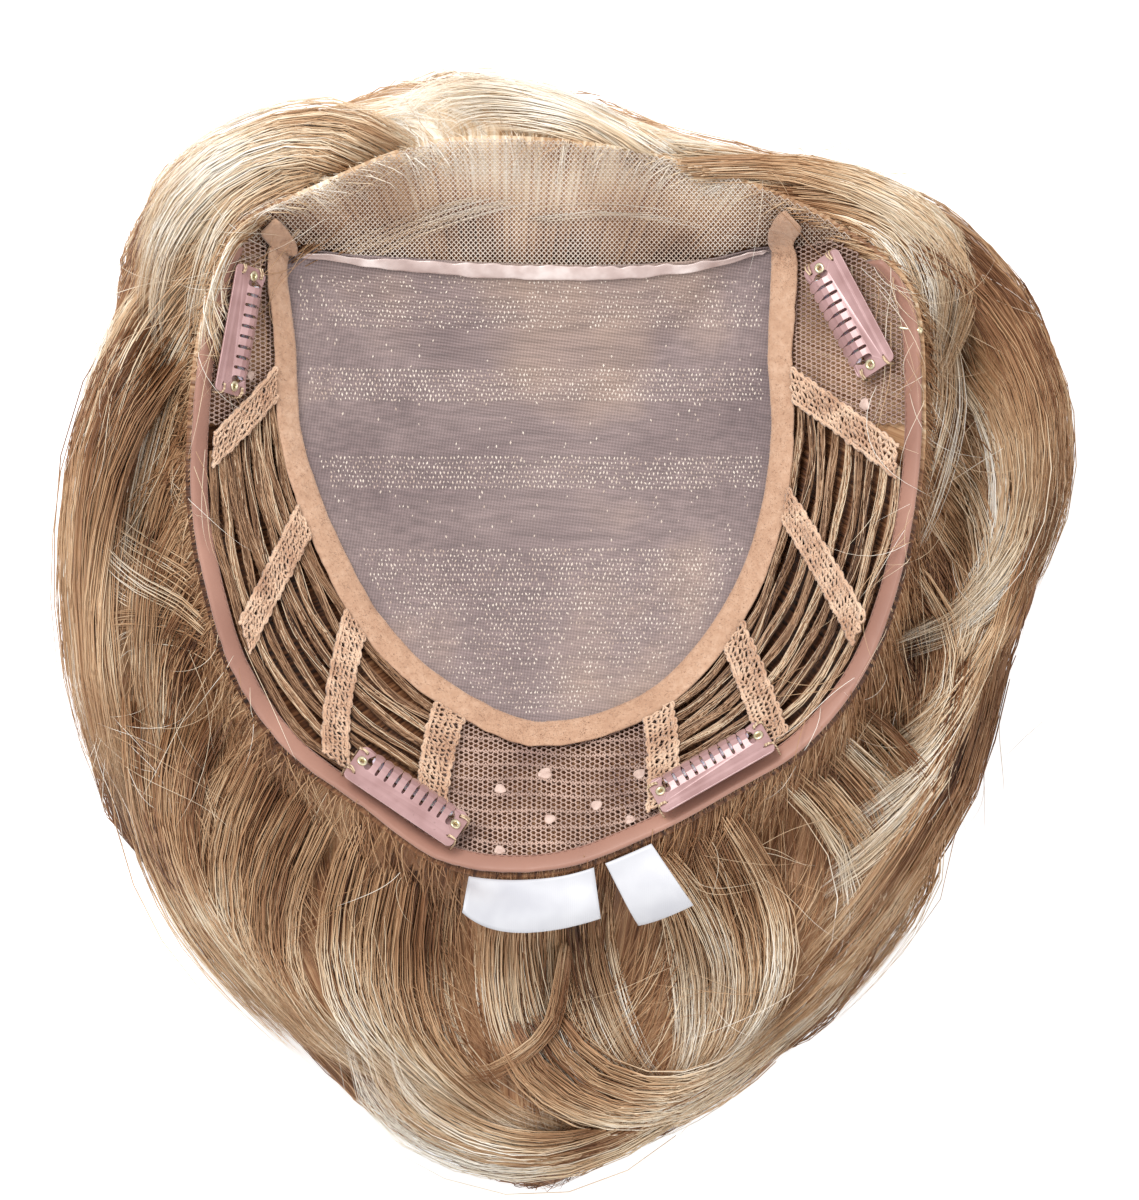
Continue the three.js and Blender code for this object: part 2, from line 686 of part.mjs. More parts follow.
// Snap clips. Each has a comb stamped from sheet, a bowed bar under its teeth, a silicone grip on the
// bar, and an eyelet rivet through each end. Local X runs along the clip, Y towards the teeth, Z up.
const clipHalf = CLIP_LENGTH / 2;
const combBack = -CLIP_DEPTH / 2;
const toothPitch = (CLIP_LENGTH - 2 * CLIP_TAB) / CLIP_TEETH;
const rivetX = clipHalf - CLIP_TAB / 2;
const rivetY = combBack + BAR_PLACE;
const rivetHole = RIVET_RADIUS + CLIP_GAP;
const HOLE_SIDES = 6;

function holeAt(x, y, radius) {
  const hole = new THREE.Path();
  for (let i = 0; i < HOLE_SIDES; i++) {
    const angle = (-i * 2 * Math.PI) / HOLE_SIDES;
    const to = [x + radius * Math.cos(angle), y + radius * Math.sin(angle)];
    if (i) hole.lineTo(...to);
    else hole.moveTo(...to);
  }
  hole.closePath();
  return hole;
}

function combGeometry() {
  const toothRoot = combBack + CLIP_SPINE;
  const toothTip = combBack + CLIP_DEPTH;
  const shape = new THREE.Shape();
  shape.moveTo(-clipHalf + CLIP_CORNER, combBack);
  shape.lineTo(clipHalf - CLIP_CORNER, combBack);
  shape.lineTo(clipHalf, combBack + CLIP_CORNER);
  shape.lineTo(clipHalf, combBack + TAB_LENGTH - CLIP_CORNER);
  shape.lineTo(clipHalf - CLIP_CORNER, combBack + TAB_LENGTH);
  shape.lineTo(clipHalf - CLIP_TAB, combBack + TAB_LENGTH);
  for (let tooth = CLIP_TEETH - 1; tooth >= 0; tooth--) {
    const middle = -clipHalf + CLIP_TAB + (tooth + 0.5) * toothPitch;
    const half = (toothPitch * TOOTH_SHARE) / 2;
    shape.lineTo(middle + half, toothRoot);
    shape.lineTo(middle + half, toothTip - half);
    shape.lineTo(middle, toothTip);
    shape.lineTo(middle - half, toothTip - half);
    shape.lineTo(middle - half, toothRoot);
  }
  shape.lineTo(-clipHalf + CLIP_TAB, toothRoot);
  shape.lineTo(-clipHalf + CLIP_TAB, combBack + TAB_LENGTH);
  shape.lineTo(-clipHalf + CLIP_CORNER, combBack + TAB_LENGTH);
  shape.lineTo(-clipHalf, combBack + TAB_LENGTH - CLIP_CORNER);
  shape.lineTo(-clipHalf, combBack + CLIP_CORNER);
  shape.holes.push(holeAt(rivetX, rivetY, rivetHole), holeAt(-rivetX, rivetY, rivetHole));
  return new THREE.ExtrudeGeometry(shape, { depth: CLIP_SHEET, bevelEnabled: false });
}

// A strip along the clip that bows away from the comb, drop below the comb at its ends
function bowedStrip(halfLength, width, thick, drop, holes) {
  const steps = 6;
  const top = (x) => -drop - CLIP_BOW * Math.cos((x / clipHalf) * (Math.PI / 2));
  const strip = sheet(steps, 1, (i, j, face) => {
    const x = mix(-halfLength, halfLength, i / steps);
    return new THREE.Vector3(x, rivetY + (j - 0.5) * width, top(x) - (1 - face) * thick);
  });
  if (!holes) return strip;
  const drill = new THREE.CylinderGeometry(rivetHole, rivetHole, CLIP_DEPTH, HOLE_SIDES);
  drill.deleteAttribute("normal");
  drill.deleteAttribute("uv");
  drill.rotateX(Math.PI / 2);
  const drillAt = (x) => solidOf(drill.clone().translate(x, rivetY, 0));
  return geometryFrom(solidOf(strip).subtract(drillAt(rivetX)).subtract(drillAt(-rivetX)));
}

// An eyelet flush with the comb's outer face, with its rolled head under the bar
function rivetGeometry() {
  const bore = 0.35 * RIVET_RADIUS;
  const head = -5 * CLIP_GAP - CLIP_SHEET;
  const profile = [
    [bore, head - RIVET_HEAD_THICK],
    [RIVET_HEAD, head - RIVET_HEAD_THICK],
    [RIVET_HEAD, head],
    [RIVET_RADIUS, head],
    [RIVET_RADIUS, CLIP_SHEET],
    [bore, CLIP_SHEET],
    [bore, head - RIVET_HEAD_THICK],
  ].map(([radius, height]) => new THREE.Vector2(radius, height));
  return new THREE.LatheGeometry(profile, HOLE_SIDES).rotateX(Math.PI / 2);
}

for (const clip of CLIPS) {
  const placed = new THREE.Group();
  const half = alongCap(clip.station, clip.reach, clipHalf);
  const from = onCap(clip.station - half, clip.reach - clip.turn / 2, clip.lift);
  const to = onCap(clip.station + half, clip.reach + clip.turn / 2, clip.lift);
  const along = to.clone().sub(from).normalize();
  const normal = capNormal(clip.station, clip.reach);
  normal.addScaledVector(along, -normal.dot(along)).normalize();
  placed.matrix.makeBasis(along, normal.clone().cross(along), normal);
  placed.matrix.setPosition(from.lerp(to, 0.5));
  placed.matrix.decompose(placed.position, placed.quaternion, placed.scale);
  const addTo = (name, geometry, material) => placed.add(add(`${clip.name}_${name}`, geometry, material));
  addTo("comb", combGeometry(), MATERIALS.enamel);
  addTo("bar", bowedStrip(clipHalf, BAR_WIDTH, CLIP_SHEET, CLIP_GAP, true), MATERIALS.enamel);
  const grip = bowedStrip(clipHalf * GRIP_SHARE, GRIP_WIDTH, GRIP_THICK, -GRIP_THICK, false);
  addTo("grip", grip, MATERIALS.silicone);
  addTo("rivet_a", rivetGeometry().translate(-rivetX, rivetY, 0), MATERIALS.brass);
  addTo("rivet_b", rivetGeometry().translate(rivetX, rivetY, 0), MATERIALS.brass);
  wiglet.add(placed);
}

// Labels, sewn at the nape and standing out over the hair
const LABEL_COLUMNS = 3;
const LABEL_ROWS = 3;
for (const label of LABELS) {
  add(
    label.name,
    sheet(LABEL_COLUMNS, LABEL_ROWS, (i, j, face) => {
      const station = label.station + alongCap(label.station, 1, label.width * (i / LABEL_COLUMNS - 0.5));
      const rim = onCap(station, 1, RIBBON_THICK / 2);
      const away = rim.clone().sub(crownPoint).setZ(0).normalize();
      const out = SEAM_GAP + RIBBON_THICK + (label.length * j) / LABEL_ROWS;
      const side = new THREE.Vector3(-away.y, away.x, 0);
      return rim
        .addScaledVector(away, out)
        .addScaledVector(side, (label.skew * j) / LABEL_ROWS)
        .setZ(rim.z - LABEL_DROP * out + (face - 0.5) * LABEL_THICK);
    }),
    MATERIALS.satin,
  );
}

export default wiglet;
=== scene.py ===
# A wiglet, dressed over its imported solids: a clip-in top hairpiece that lies on its hair with the
# open side of its cap up. Shapes are worked out in millimetres and made in metres.
import math

import bpy
import numpy as np
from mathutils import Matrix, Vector
from mathutils.bvhtree import BVHTree


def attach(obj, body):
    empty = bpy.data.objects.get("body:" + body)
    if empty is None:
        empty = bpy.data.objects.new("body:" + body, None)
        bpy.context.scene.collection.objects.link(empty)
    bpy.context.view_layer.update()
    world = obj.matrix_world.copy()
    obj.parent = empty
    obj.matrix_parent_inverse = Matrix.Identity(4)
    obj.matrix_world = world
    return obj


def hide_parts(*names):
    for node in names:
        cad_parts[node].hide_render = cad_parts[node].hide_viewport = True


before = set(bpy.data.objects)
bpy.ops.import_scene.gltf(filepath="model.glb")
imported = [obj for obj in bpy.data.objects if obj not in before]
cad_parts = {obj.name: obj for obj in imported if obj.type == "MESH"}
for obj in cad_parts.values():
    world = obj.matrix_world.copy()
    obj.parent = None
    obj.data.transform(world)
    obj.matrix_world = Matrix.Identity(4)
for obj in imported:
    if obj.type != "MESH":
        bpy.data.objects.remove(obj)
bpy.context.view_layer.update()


# Studio: a white table under wide soft lights, seen from straight above as in the photograph.
# The table glows a little, as a lit white sweep does, so that it stays white round the hair.

def colour(hex_code):
    """A linear colour from an sRGB hex code."""
    parts = [int(hex_code[i : i + 2], 16) / 255 for i in (1, 3, 5)]
    return (*(p / 12.92 if p <= 0.04045 else ((p + 0.055) / 1.055) ** 2.4 for p in parts), 1)


def add(tree, kind, inputs=None, stops=(), **settings):
    """Adds a node with its settings. An input that is a socket is linked, any other is a value."""
    made = tree.nodes.new("ShaderNode" + kind)
    for name, value in settings.items():
        setattr(made, name, value)
    for name, value in (inputs or {}).items():
        if isinstance(value, bpy.types.NodeSocket):
            tree.links.new(value, made.inputs[name])
        else:
            made.inputs[name].default_value = value
    for place, (share, hex_code) in enumerate(stops):
        ramp = made.color_ramp.elements
        stop = ramp[place] if place < 2 else ramp.new(share)
        stop.position, stop.color = share, colour(hex_code)
    return made


def new_material(name):
    made = bpy.data.materials.new(name)
    made.use_nodes = True
    made.node_tree.nodes.clear()
    return made, made.node_tree


def surface(tree, **sockets):
    """Ends a material in the shader that all finishes share. An underscore stands for a space."""
    sockets = {name.replace("_", " "): value for name, value in sockets.items()}
    shader = add(tree, "BsdfPrincipled", sockets)
    add(tree, "OutputMaterial", {"Surface": shader.outputs["BSDF"]})


white_table, tree = new_material("white table")
surface(
    tree,
    Base_Color=colour("#F4F4F4"),
    Roughness=0.8,
    Emission_Color=colour("#FFFFFF"),
    Emission_Strength=0.45,
)

TABLE_HALF = 4.0
table_mesh = bpy.data.meshes.new("table")
corners = [(x * TABLE_HALF, y * TABLE_HALF, 0) for x, y in ((-1, -1), (1, -1), (1, 1), (-1, 1))]
table_mesh.from_pydata(corners, [], [(0, 1, 2, 3)])
table_mesh.materials.append(white_table)
table = bpy.data.objects.new("table", table_mesh)
bpy.context.scene.collection.objects.link(table)

world = bpy.data.worlds.new("studio")
world.use_nodes = True
background = world.node_tree.nodes["Background"].inputs
background["Color"].default_value = colour("#FFFFFF")
background["Strength"].default_value = 0.8
bpy.context.scene.world = world
bpy.context.scene.view_settings.view_transform = "Standard"

for name, place, size, power in [
    ("key", (-0.45, 0.6, 1.2), 0.6, 15.0),
    ("fill", (0.9, -0.4, 1.1), 1.2, 6.0),
]:
    lamp = bpy.data.lights.new(name, "AREA")
    lamp.size, lamp.energy = size, power
    light = bpy.data.objects.new(name, lamp)
    light.location = place
    light.rotation_mode = "QUATERNION"
    light.rotation_quaternion = Vector(place).to_track_quat("Z", "Y")
    bpy.context.scene.collection.objects.link(light)

CAMERA_FAR = 2.5  # from the middle height of the hair, in metres
VIEW_HEIGHT = 0.318  # what the picture's long side takes in at that height
SENSOR = 36.0
camera_data = bpy.data.cameras.new("camera")
camera_data.sensor_width = SENSOR
camera_data.lens = SENSOR * CAMERA_FAR / VIEW_HEIGHT
camera_data.clip_end = 10
camera = bpy.data.objects.new("camera", camera_data)
camera.location = (0.00384, -0.0265, 0.045 + CAMERA_FAR)
bpy.context.scene.collection.objects.link(camera)
bpy.context.scene.camera = camera


# Monofilament top: fine clear mesh that the crown hair is knotted into, one sheet sewn into the
# tape round it. It gives the cap its shape, so the cap's surface is defined here.

CAP_HALF, CROWN = 96, np.array([-4.0, 8.0, 20.0])
TOP_EDGE, RIM_RISE = 34.0, 42.0
BOWL_CURVE = 1.15
HAIR_HALF, HAIR_SHIFT = np.array([134.0, 149.0]), np.array([2.6, -34.5])
# Sections round the cap from the left front corner: inner x y, rim x y z, hair x y, dip, hump
STATIONS = np.array([
    (-0.74, 0.66, -0.91, 0.66, 0.96, -0.85, 0.74, 0.62, 0.70),
    (-0.71, 0.43, -0.97, 0.46, 1.00, -0.89, 0.60, 0.50, 0.68),
    (-0.69, 0.19, -1.00, 0.19, 1.00, -0.94, 0.41, 0.42, 0.66),
    (-0.64, 0.03, -1.00, -0.03, 1.00, -0.99, 0.23, 0.40, 0.62),
    (-0.57, -0.14, -0.96, -0.25, 1.00, -1.00, 0.05, 0.42, 0.58),
    (-0.48, -0.31, -0.89, -0.47, 1.00, -0.96, -0.18, 0.45, 0.52),
    (-0.35, -0.46, -0.75, -0.68, 1.00, -0.87, -0.39, 0.50, 0.48),
    (-0.20, -0.56, -0.54, -0.84, 1.00, -0.67, -0.61, 0.55, 0.45),
    (-0.07, -0.61, -0.30, -1.00, 1.00, -0.40, -0.85, 0.55, 0.42),
    (0.01, -0.61, 0.00, -1.02, 1.00, -0.09, -1.00, 0.55, 0.42),
    (0.12, -0.59, 0.28, -0.92, 1.00, 0.15, -0.93, 0.55, 0.42),
    (0.27, -0.52, 0.50, -0.80, 1.00, 0.37, -0.80, 0.52, 0.46),
    (0.40, -0.39, 0.68, -0.69, 1.00, 0.56, -0.67, 0.48, 0.52),
    (0.51, -0.21, 0.84, -0.50, 1.00, 0.71, -0.44, 0.42, 0.58),
    (0.57, -0.03, 0.93, -0.29, 1.00, 0.81, -0.22, 0.40, 0.62),
    (0.60, 0.19, 0.99, -0.03, 1.00, 0.93, 0.05, 0.40, 0.66),
    (0.59, 0.41, 1.01, 0.25, 1.00, 1.00, 0.34, 0.42, 0.70),
    (0.60, 0.66, 0.97, 0.58, 0.98, 0.93, 0.59, 0.50, 0.72),
    (0.60, 0.70, 0.77, 0.75, 0.92, 0.78, 0.74, 0.62, 0.72),
    (0.40, 0.66, 0.58, 0.85, 0.84, 0.58, 0.82, 0.70, 0.65),
    (0.18, 0.64, 0.30, 0.94, 0.80, 0.27, 0.88, 0.72, 0.60),
    (-0.06, 0.64, -0.03, 0.99, 0.80, -0.01, 0.97, 0.72, 0.60),
    (-0.29, 0.65, -0.35, 0.98, 0.80, -0.25, 0.99, 0.72, 0.60),
    (-0.52, 0.67, -0.65, 0.86, 0.84, -0.49, 0.93, 0.70, 0.65),
    (-0.73, 0.69, -0.86, 0.75, 0.92, -0.73, 0.87, 0.68, 0.70),
])
RIM_Z = CROWN[2] + RIM_RISE
flat_edge = np.full((len(STATIONS), 1), TOP_EDGE)
INNER_LOOP = np.hstack([STATIONS[:, 0:2] * CAP_HALF, flat_edge])
RIM_LOOP = np.hstack([STATIONS[:, 2:4] * CAP_HALF, CROWN[2] + STATIONS[:, 4:5] * RIM_RISE])
HAIR_LOOP = np.hstack([STATIONS[:, 5:7] * HAIR_HALF + HAIR_SHIFT, STATIONS[:, 8:9] * RIM_Z])
DIP_LOOP = np.hstack([0 * flat_edge, 0 * flat_edge, STATIONS[:, 7:8] * RIM_Z])


def around(loop, station):
    """Points of a closed smooth curve through a loop's points, one unit of station apart."""
    count = len(loop)
    place = np.mod(station, count)
    first = np.floor(place).astype(int)
    share = (place - first)[..., None]
    p0, p1, p2, p3 = (loop[(first + step) % count] for step in (-1, 0, 1, 2))
    d0, d1, d2 = (
        np.sqrt(np.linalg.norm(b - a, axis=-1, keepdims=True))
        for a, b in ((p0, p1), (p1, p2), (p2, p3))
    )
    d0, d1, d2 = (np.maximum(d, 1e-4) for d in (d0, d1, d2))
    t1 = ((p1 - p0) / d0 - (p2 - p0) / (d0 + d1) + (p2 - p1) / d1) * d1
    t2 = ((p2 - p1) / d1 - (p3 - p1) / (d1 + d2) + (p3 - p2) / d2) * d1
    return (
        p1 + t1 * share
        + (-3 * p1 + 3 * p2 - 2 * t1 - t2) * share**2
        + (2 * p1 - 2 * p2 + t1 + t2) * share**3
    )


def cap(station, reach):
    """The cap's face on the hair. reach is -1 at the crown, 0 at the top's edge, 1 at the rim."""
    station, reach = np.broadcast_arrays(np.asarray(station, float), np.asarray(reach, float))
    inner, rim = around(INNER_LOOP, station), around(RIM_LOOP, station)
    share = reach[..., None]
    inside = CROWN + (inner - CROWN) * (1 + share)
    inside[..., 2] = CROWN[2] + (inner[..., 2] - CROWN[2]) * (1 + reach) ** 2
    outside = inner + (rim - inner) * share
    climb = np.maximum(reach, 0) ** BOWL_CURVE
    outside[..., 2] = inner[..., 2] + (rim[..., 2] - inner[..., 2]) * climb
    return np.where(share <= 0, inside, outside)


def unit(vectors):
    return vectors / np.maximum(np.linalg.norm(vectors, axis=-1, keepdims=True), 1e-9)


STEP_ROUND, STEP_OUT = 0.25, 0.08  # what the cap's slope is measured over


def cap_normal(station, reach):
    along = cap(station + STEP_ROUND, reach) - cap(station - STEP_ROUND, reach)
    across = cap(station, reach + STEP_OUT) - cap(station, reach - STEP_OUT)
    normal = unit(np.cross(along, across))
    normal = np.where(normal[..., 2:] < 0, -normal, normal)
    at_crown = (np.asarray(reach) < STEP_OUT - 1)[..., None]
    return np.where(at_crown, np.array([0.0, 0.0, 1.0]), normal)


def on_cap(station, reach, lift):
    """A point above the cap's face, on its normal."""
    station, reach = np.broadcast_arrays(np.asarray(station, float), np.asarray(reach, float))
    return cap(station, reach) + cap_normal(station, reach) * np.asarray(lift, float)[..., None]


def from_top(station, distance):
    """A distance in mm from the edge of the monofilament top, as reach."""
    end = CROWN if distance < 0 else around(RIM_LOOP, station)
    return distance / np.linalg.norm(around(INNER_LOOP, station) - end, axis=-1)


def off_top(station, out):
    """Reach of a line that runs out mm outside the edge of the monofilament top."""
    return np.where(out < 0, -out * from_top(station, -1.0), out * from_top(station, 1.0))


def left_bulge(station):
    """How far in mm the top's left side bulges out from its packed edge."""
    station = np.mod(np.asarray(station, float) + 5, len(STATIONS)) - 5
    return 2.3 * np.clip((station + 1.2) / 0.5, 0, 1) * np.clip((6.5 - station) / 3.5, 0, 1)


def from_rim(station, distance):
    """A distance in mm in from the rim, as reach."""
    gap = around(INNER_LOOP, station) - around(RIM_LOOP, station)
    return 1 - distance / np.linalg.norm(gap, axis=-1)


def mix(a, b, share):
    return a + (b - a) * share


def skin(rings):
    """Closes rings of points, shaped (pieces, rings, sides, 3), into solids with flat ends.

    An end is closed like a ladder, from its first and last point to the two that lie farthest off.
    """
    pieces, steps, sides, _ = rings.shape
    index = np.arange(pieces * steps * sides).reshape(pieces, steps, sides)
    here, ahead = index[:, :-1], index[:, 1:]
    walls = np.stack([here, ahead, np.roll(ahead, -1, 2), np.roll(here, -1, 2)], -1)
    rungs, last = [], sides - 1
    for i in range((sides - 2) // 2):
        rungs += [(i, i + 1, last - 1 - i), (i, last - 1 - i, last - i)]
    if sides % 2:
        middle = (sides - 3) // 2
        rungs.append((middle, middle + 1, middle + 2))
    rungs = np.array(rungs)
    ends = [index[:, 0][:, rungs].reshape(-1, 3), index[:, -1][:, rungs[:, ::-1]].reshape(-1, 3)]
    return rings.reshape(-1, 3), walls.reshape(-1, 4), np.concatenate(ends)


def tubes(paths, radii, sides=3):
    """Round threads along paths shaped (threads, points, 3)."""
    ahead = unit(np.gradient(paths, axis=1))
    level = np.where(np.abs(ahead[..., 2:]) > 0.95, [1.0, 0.0, 0.0], [0.0, 0.0, 1.0])
    side = unit(np.cross(ahead, level))
    over = np.cross(side, ahead)
    radii = np.broadcast_to(radii, paths.shape[:2])[..., None]
    turns = np.arange(sides) * 2 * math.pi / sides
    rings = [paths + radii * (math.cos(t) * side + math.sin(t) * over) for t in turns]
    return skin(np.stack(rings, 2))


def joined(*solids):
    """Several solids' points, quads and triangles as one."""
    start, points, quads, triangles = 0, [], [], []
    for solid in solids:
        points.append(solid[0])
        quads.append(solid[1] + start)
        triangles.append(solid[2] + start)
        start += len(solid[0])
    return np.concatenate(points), np.concatenate(quads), np.concatenate(triangles)


def piece(name, solid, finish, replaced=(), tone=None, smooth=True):
    """Makes a piece from points in mm, quads and triangles, and fixes it to the part."""
    points, quads, triangles = solid
    corners = np.concatenate([quads.ravel(), triangles.ravel()]).astype(np.int32)
    starts = np.concatenate(
        [np.arange(len(quads)) * 4, quads.size + np.arange(len(triangles)) * 3]
    )
    mesh = bpy.data.meshes.new(name)
    mesh.vertices.add(len(points))
    mesh.vertices.foreach_set("co", (points * 0.001).astype(np.float32).ravel())
    mesh.loops.add(len(corners))
    mesh.loops.foreach_set("vertex_index", corners)
    mesh.polygons.add(len(starts))
    mesh.polygons.foreach_set("loop_start", starts.astype(np.int32))
    mesh.polygons.foreach_set("use_smooth", np.full(len(starts), smooth))
    mesh.update(calc_edges=True)
    if tone is not None:
        layer = mesh.uv_layers.new(name="OFBake")
        layer.uv.foreach_set("vector", tone[corners].astype(np.float32).ravel())
    mesh.materials.append(finish)
    made = bpy.data.objects.new(name, mesh)
    bpy.context.scene.collection.objects.link(made)
    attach(made, "root")
    if replaced:
        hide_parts(*replaced)
    return made


def waves(x, y, seed, size):
    """Smooth unevenness between -1 and 1 that repeats nowhere near a size in mm."""
    turns = np.random.default_rng(seed).uniform(0, 2 * math.pi, (6, 2))
    total = 0
    for number, (angle, start) in enumerate(turns):
        reach = 2 * math.pi / (size * (0.7 + 0.12 * number))
        total = total + np.sin((x * math.cos(angle) + y * math.sin(angle)) * reach + start)
    return total / len(turns)


BAND_PERIOD = 2 * math.pi / 20  # a wave texture's period at scale 1

# Nylon monofilament mesh: grey-mauve over dark hair, with pinkish patches where the hair parts.
# Its real threads are 0.4 mm apart; they are drawn 0.8 mm apart, or they would not show.
MONO_PITCH = 0.0008
PARTING, HAIR_LINES = 41.7, 1.43  # sizes in mm of the patches, and of the hairs seen through it
mono_mesh, tree = new_material("monofilament mesh")
place = add(tree, "TexCoord").outputs["Object"]
turned = add(tree, "Mapping", {"Vector": place, "Rotation": (0, 0, math.radians(9))})
across, along = (
    add(
        tree, "TexWave",
        {"Vector": turned.outputs["Vector"], "Scale": BAND_PERIOD / MONO_PITCH,
         "Distortion": 1.6, "Detail": 1.0, "Detail Scale": 0.4},
        bands_direction=direction,
    ).outputs["Fac"]
    for direction in ("X", "Y")
)
weave = add(tree, "Math", {0: across, 1: along}, operation="ADD").outputs[0]
parted = add(
    tree, "TexNoise",
    {"Vector": place, "Scale": 1000 / PARTING, "Detail": 2.5, "Roughness": 0.5},
)
under = add(
    tree, "ValToRGB", {"Fac": parted.outputs["Fac"]},
    stops=[(0.3, "#756464"), (0.72, "#A28B7F"), (0.52, "#897775")],
)
# the hair below shows as fine crosswise lines
stretched = add(tree, "Mapping", {"Vector": place, "Scale": (0.09, 1.0, 1.0)})
fine = add(
    tree, "TexNoise",
    {"Vector": stretched.outputs["Vector"], "Scale": 1000 / HAIR_LINES, "Detail": 2.5},
)
grain = add(
    tree, "MapRange",
    {"Value": fine.outputs["Fac"], "From Min": 0.3, "From Max": 0.7,
     "To Min": 0.82, "To Max": 1.16},
)
woven = add(
    tree, "MapRange",
    {"Value": weave, "From Min": 0.3, "From Max": 1.8, "To Min": 0.8, "To Max": 1.15},
)
light = add(
    tree, "Math", {0: grain.outputs["Result"], 1: woven.outputs["Result"]}, operation="MULTIPLY"
)
tinted = add(
    tree, "Mix", {0: 1.0, 6: under.outputs["Color"], 7: light.outputs[0]},
    data_type="RGBA", blend_type="MULTIPLY",
)
raised = add(tree, "Bump", {"Height": weave, "Strength": 0.45, "Distance": 0.0002})
surface(
    tree,
    Base_Color=tinted.outputs[2],
    Roughness=0.62,
    Normal=raised.outputs["Normal"],
    Sheen_Weight=0.15,
)

MONO_COLUMNS, MONO_ROWS, MONO_TUCK = 200, 32, 2.0
MONO_FACES = (0.45, 0.85)  # lifts of its two faces
station = np.linspace(0, len(STATIONS), MONO_COLUMNS, endpoint=False)


def mono_row(share, lift):
    edge = off_top(station, MONO_TUCK + left_bulge(station))  # where it ends under the tape
    line = on_cap(station, mix(-1, edge, share), np.full(MONO_COLUMNS, lift))
    # slight puckers, strongest by the seam at the front
    pull = 0.18 + 0.5 * np.clip((line[:, 1] - 35) / 30, 0, 1) * (1 - share**6)
    line[:, 2] += pull * waves(line[:, 0], line[:, 1], 3, 13) * min(1, 8 * (1 - share) + 0.2)
    return line


shares = np.linspace(0.012, 1, MONO_ROWS)
rows = [mono_row(share, MONO_FACES[0]) for share in shares]
rows += [mono_row(share, MONO_FACES[1]) for share in shares[::-1]]
piece("mono_mesh", skin(np.stack(rows)[None]), mono_mesh, ["mono_top"])


# Knots: pairs of hairs tied round the mesh in rows, which show as pale dashes in bands.

KNOT_BANDS = [  # lowest and highest y in mm, and how full the band is
    (46.5, 54.0, 1.2), (27.0, 35.0, 1.3), (3.0, 11.5, 1.3), (-29.0, -13.0, 1.1),
    (-60.0, -29.0, 0.9), (54.0, 60.5, 0.6), (35.0, 46.5, 0.05), (11.5, 27.0, 0.05),
    (-13.0, 3.0, 0.06),
]
KNOT_PITCH = (1.12, 1.3)
KNOT_SIZE = np.array([0.22, 0.46, 0.1])  # half sizes


def mottled(name, patch, stops, detail=2.0, grain=None, **sockets):
    """A finish whose colour wanders over patches of a size in mm.

    grain is a finer unevenness that raises the surface: its size and depth in mm, and how strong.
    """
    made, tree = new_material(name)
    place = add(tree, "TexCoord").outputs["Object"]
    patches = add(tree, "TexNoise", {"Vector": place, "Scale": 1000 / patch, "Detail": detail})
    tone = add(tree, "ValToRGB", {"Fac": patches.outputs["Fac"]}, stops=stops)
    if grain:
        size, depth, strength = grain
        bumps = add(tree, "TexNoise", {"Vector": place, "Scale": 1000 / size})
        raised = add(
            tree, "Bump",
            {"Height": bumps.outputs["Fac"], "Strength": strength, "Distance": depth / 1000},
        )
        sockets["Normal"] = raised.outputs["Normal"]
    surface(tree, Base_Color=tone.outputs["Color"], **sockets)
    return made


# Bleached hair, pale and shiny, so that each knot is a light spot with a small gleam
knot_hair = mottled(
    "knotted hair, bleached", 3.85, [(0.35, "#BCA79A"), (0.65, "#E4D7CA")], Roughness=0.42
)

# A map of the cap seen from above, for pieces that are laid out in plan
MAP_STEP, MAP_HALF = 0.5, 110
map_side = int(2 * MAP_HALF / MAP_STEP)
stations, reaches = np.meshgrid(
    np.arange(0, len(STATIONS), 1 / 90), np.linspace(-0.99, 1.0, 560), indexing="ij"
)
samples = cap(stations.ravel(), reaches.ravel())
cells = np.clip((samples[:, :2] + MAP_HALF) / MAP_STEP, 0, map_side - 1).astype(int)
cells = cells[:, 0] * map_side + cells[:, 1]
turn = stations.ravel() * 2 * math.pi / len(STATIONS)
hits = np.bincount(cells, minlength=map_side**2)
cap_maps = [
    np.bincount(cells, weights=values, minlength=map_side**2) / np.maximum(hits, 1)
    for values in (samples[:, 2], reaches.ravel(), np.cos(turn), np.sin(turn))
]
cap_maps = [values.reshape(map_side, map_side) for values in cap_maps]
hits = hits.reshape(map_side, map_side)


def below(x, y):
    """Height, reach and station of the cap under points in plan, and whether it is there."""
    column = np.clip(((x + MAP_HALF) / MAP_STEP).astype(int), 0, map_side - 1)
    row = np.clip(((y + MAP_HALF) / MAP_STEP).astype(int), 0, map_side - 1)
    height, reach, cosine, sine = (values[column, row] for values in cap_maps)
    station = np.mod(np.arctan2(sine, cosine) * len(STATIONS) / (2 * math.pi), len(STATIONS))
    return height, reach, station, hits[column, row] > 0


random = np.random.default_rng(11)
columns, rows = np.meshgrid(
    np.arange(-70, 62, KNOT_PITCH[0]), np.arange(-60, 62, KNOT_PITCH[1]), indexing="ij"
)
knots_x = (columns + (np.arange(columns.shape[1]) % 2) * KNOT_PITCH[0] / 2).ravel()
knots_y = (rows + 0.5 * waves(columns, rows, 5, 60)).ravel()
knots_x = knots_x + random.normal(0, 0.12, len(knots_x))
knots_y = knots_y + random.normal(0, 0.14, len(knots_y))
full = np.zeros(len(knots_x))
for low, high, share in KNOT_BANDS:
    full = np.where((rows.ravel() >= low) & (rows.ravel() < high), share, full)
full = full * (0.82 + 0.5 * waves(knots_x, knots_y, 8, 22))
height, reach, _, there = below(knots_x, knots_y)
kept = there & (reach < -0.03) & (random.random(len(full)) < full)
knots_x, knots_y, height = knots_x[kept], knots_y[kept], height[kept]
middle = np.stack([knots_x, knots_y, height + MONO_FACES[1] + 0.1], -1)
middle[:, 2] += 0.18 * waves(knots_x, knots_y, 3, 13)
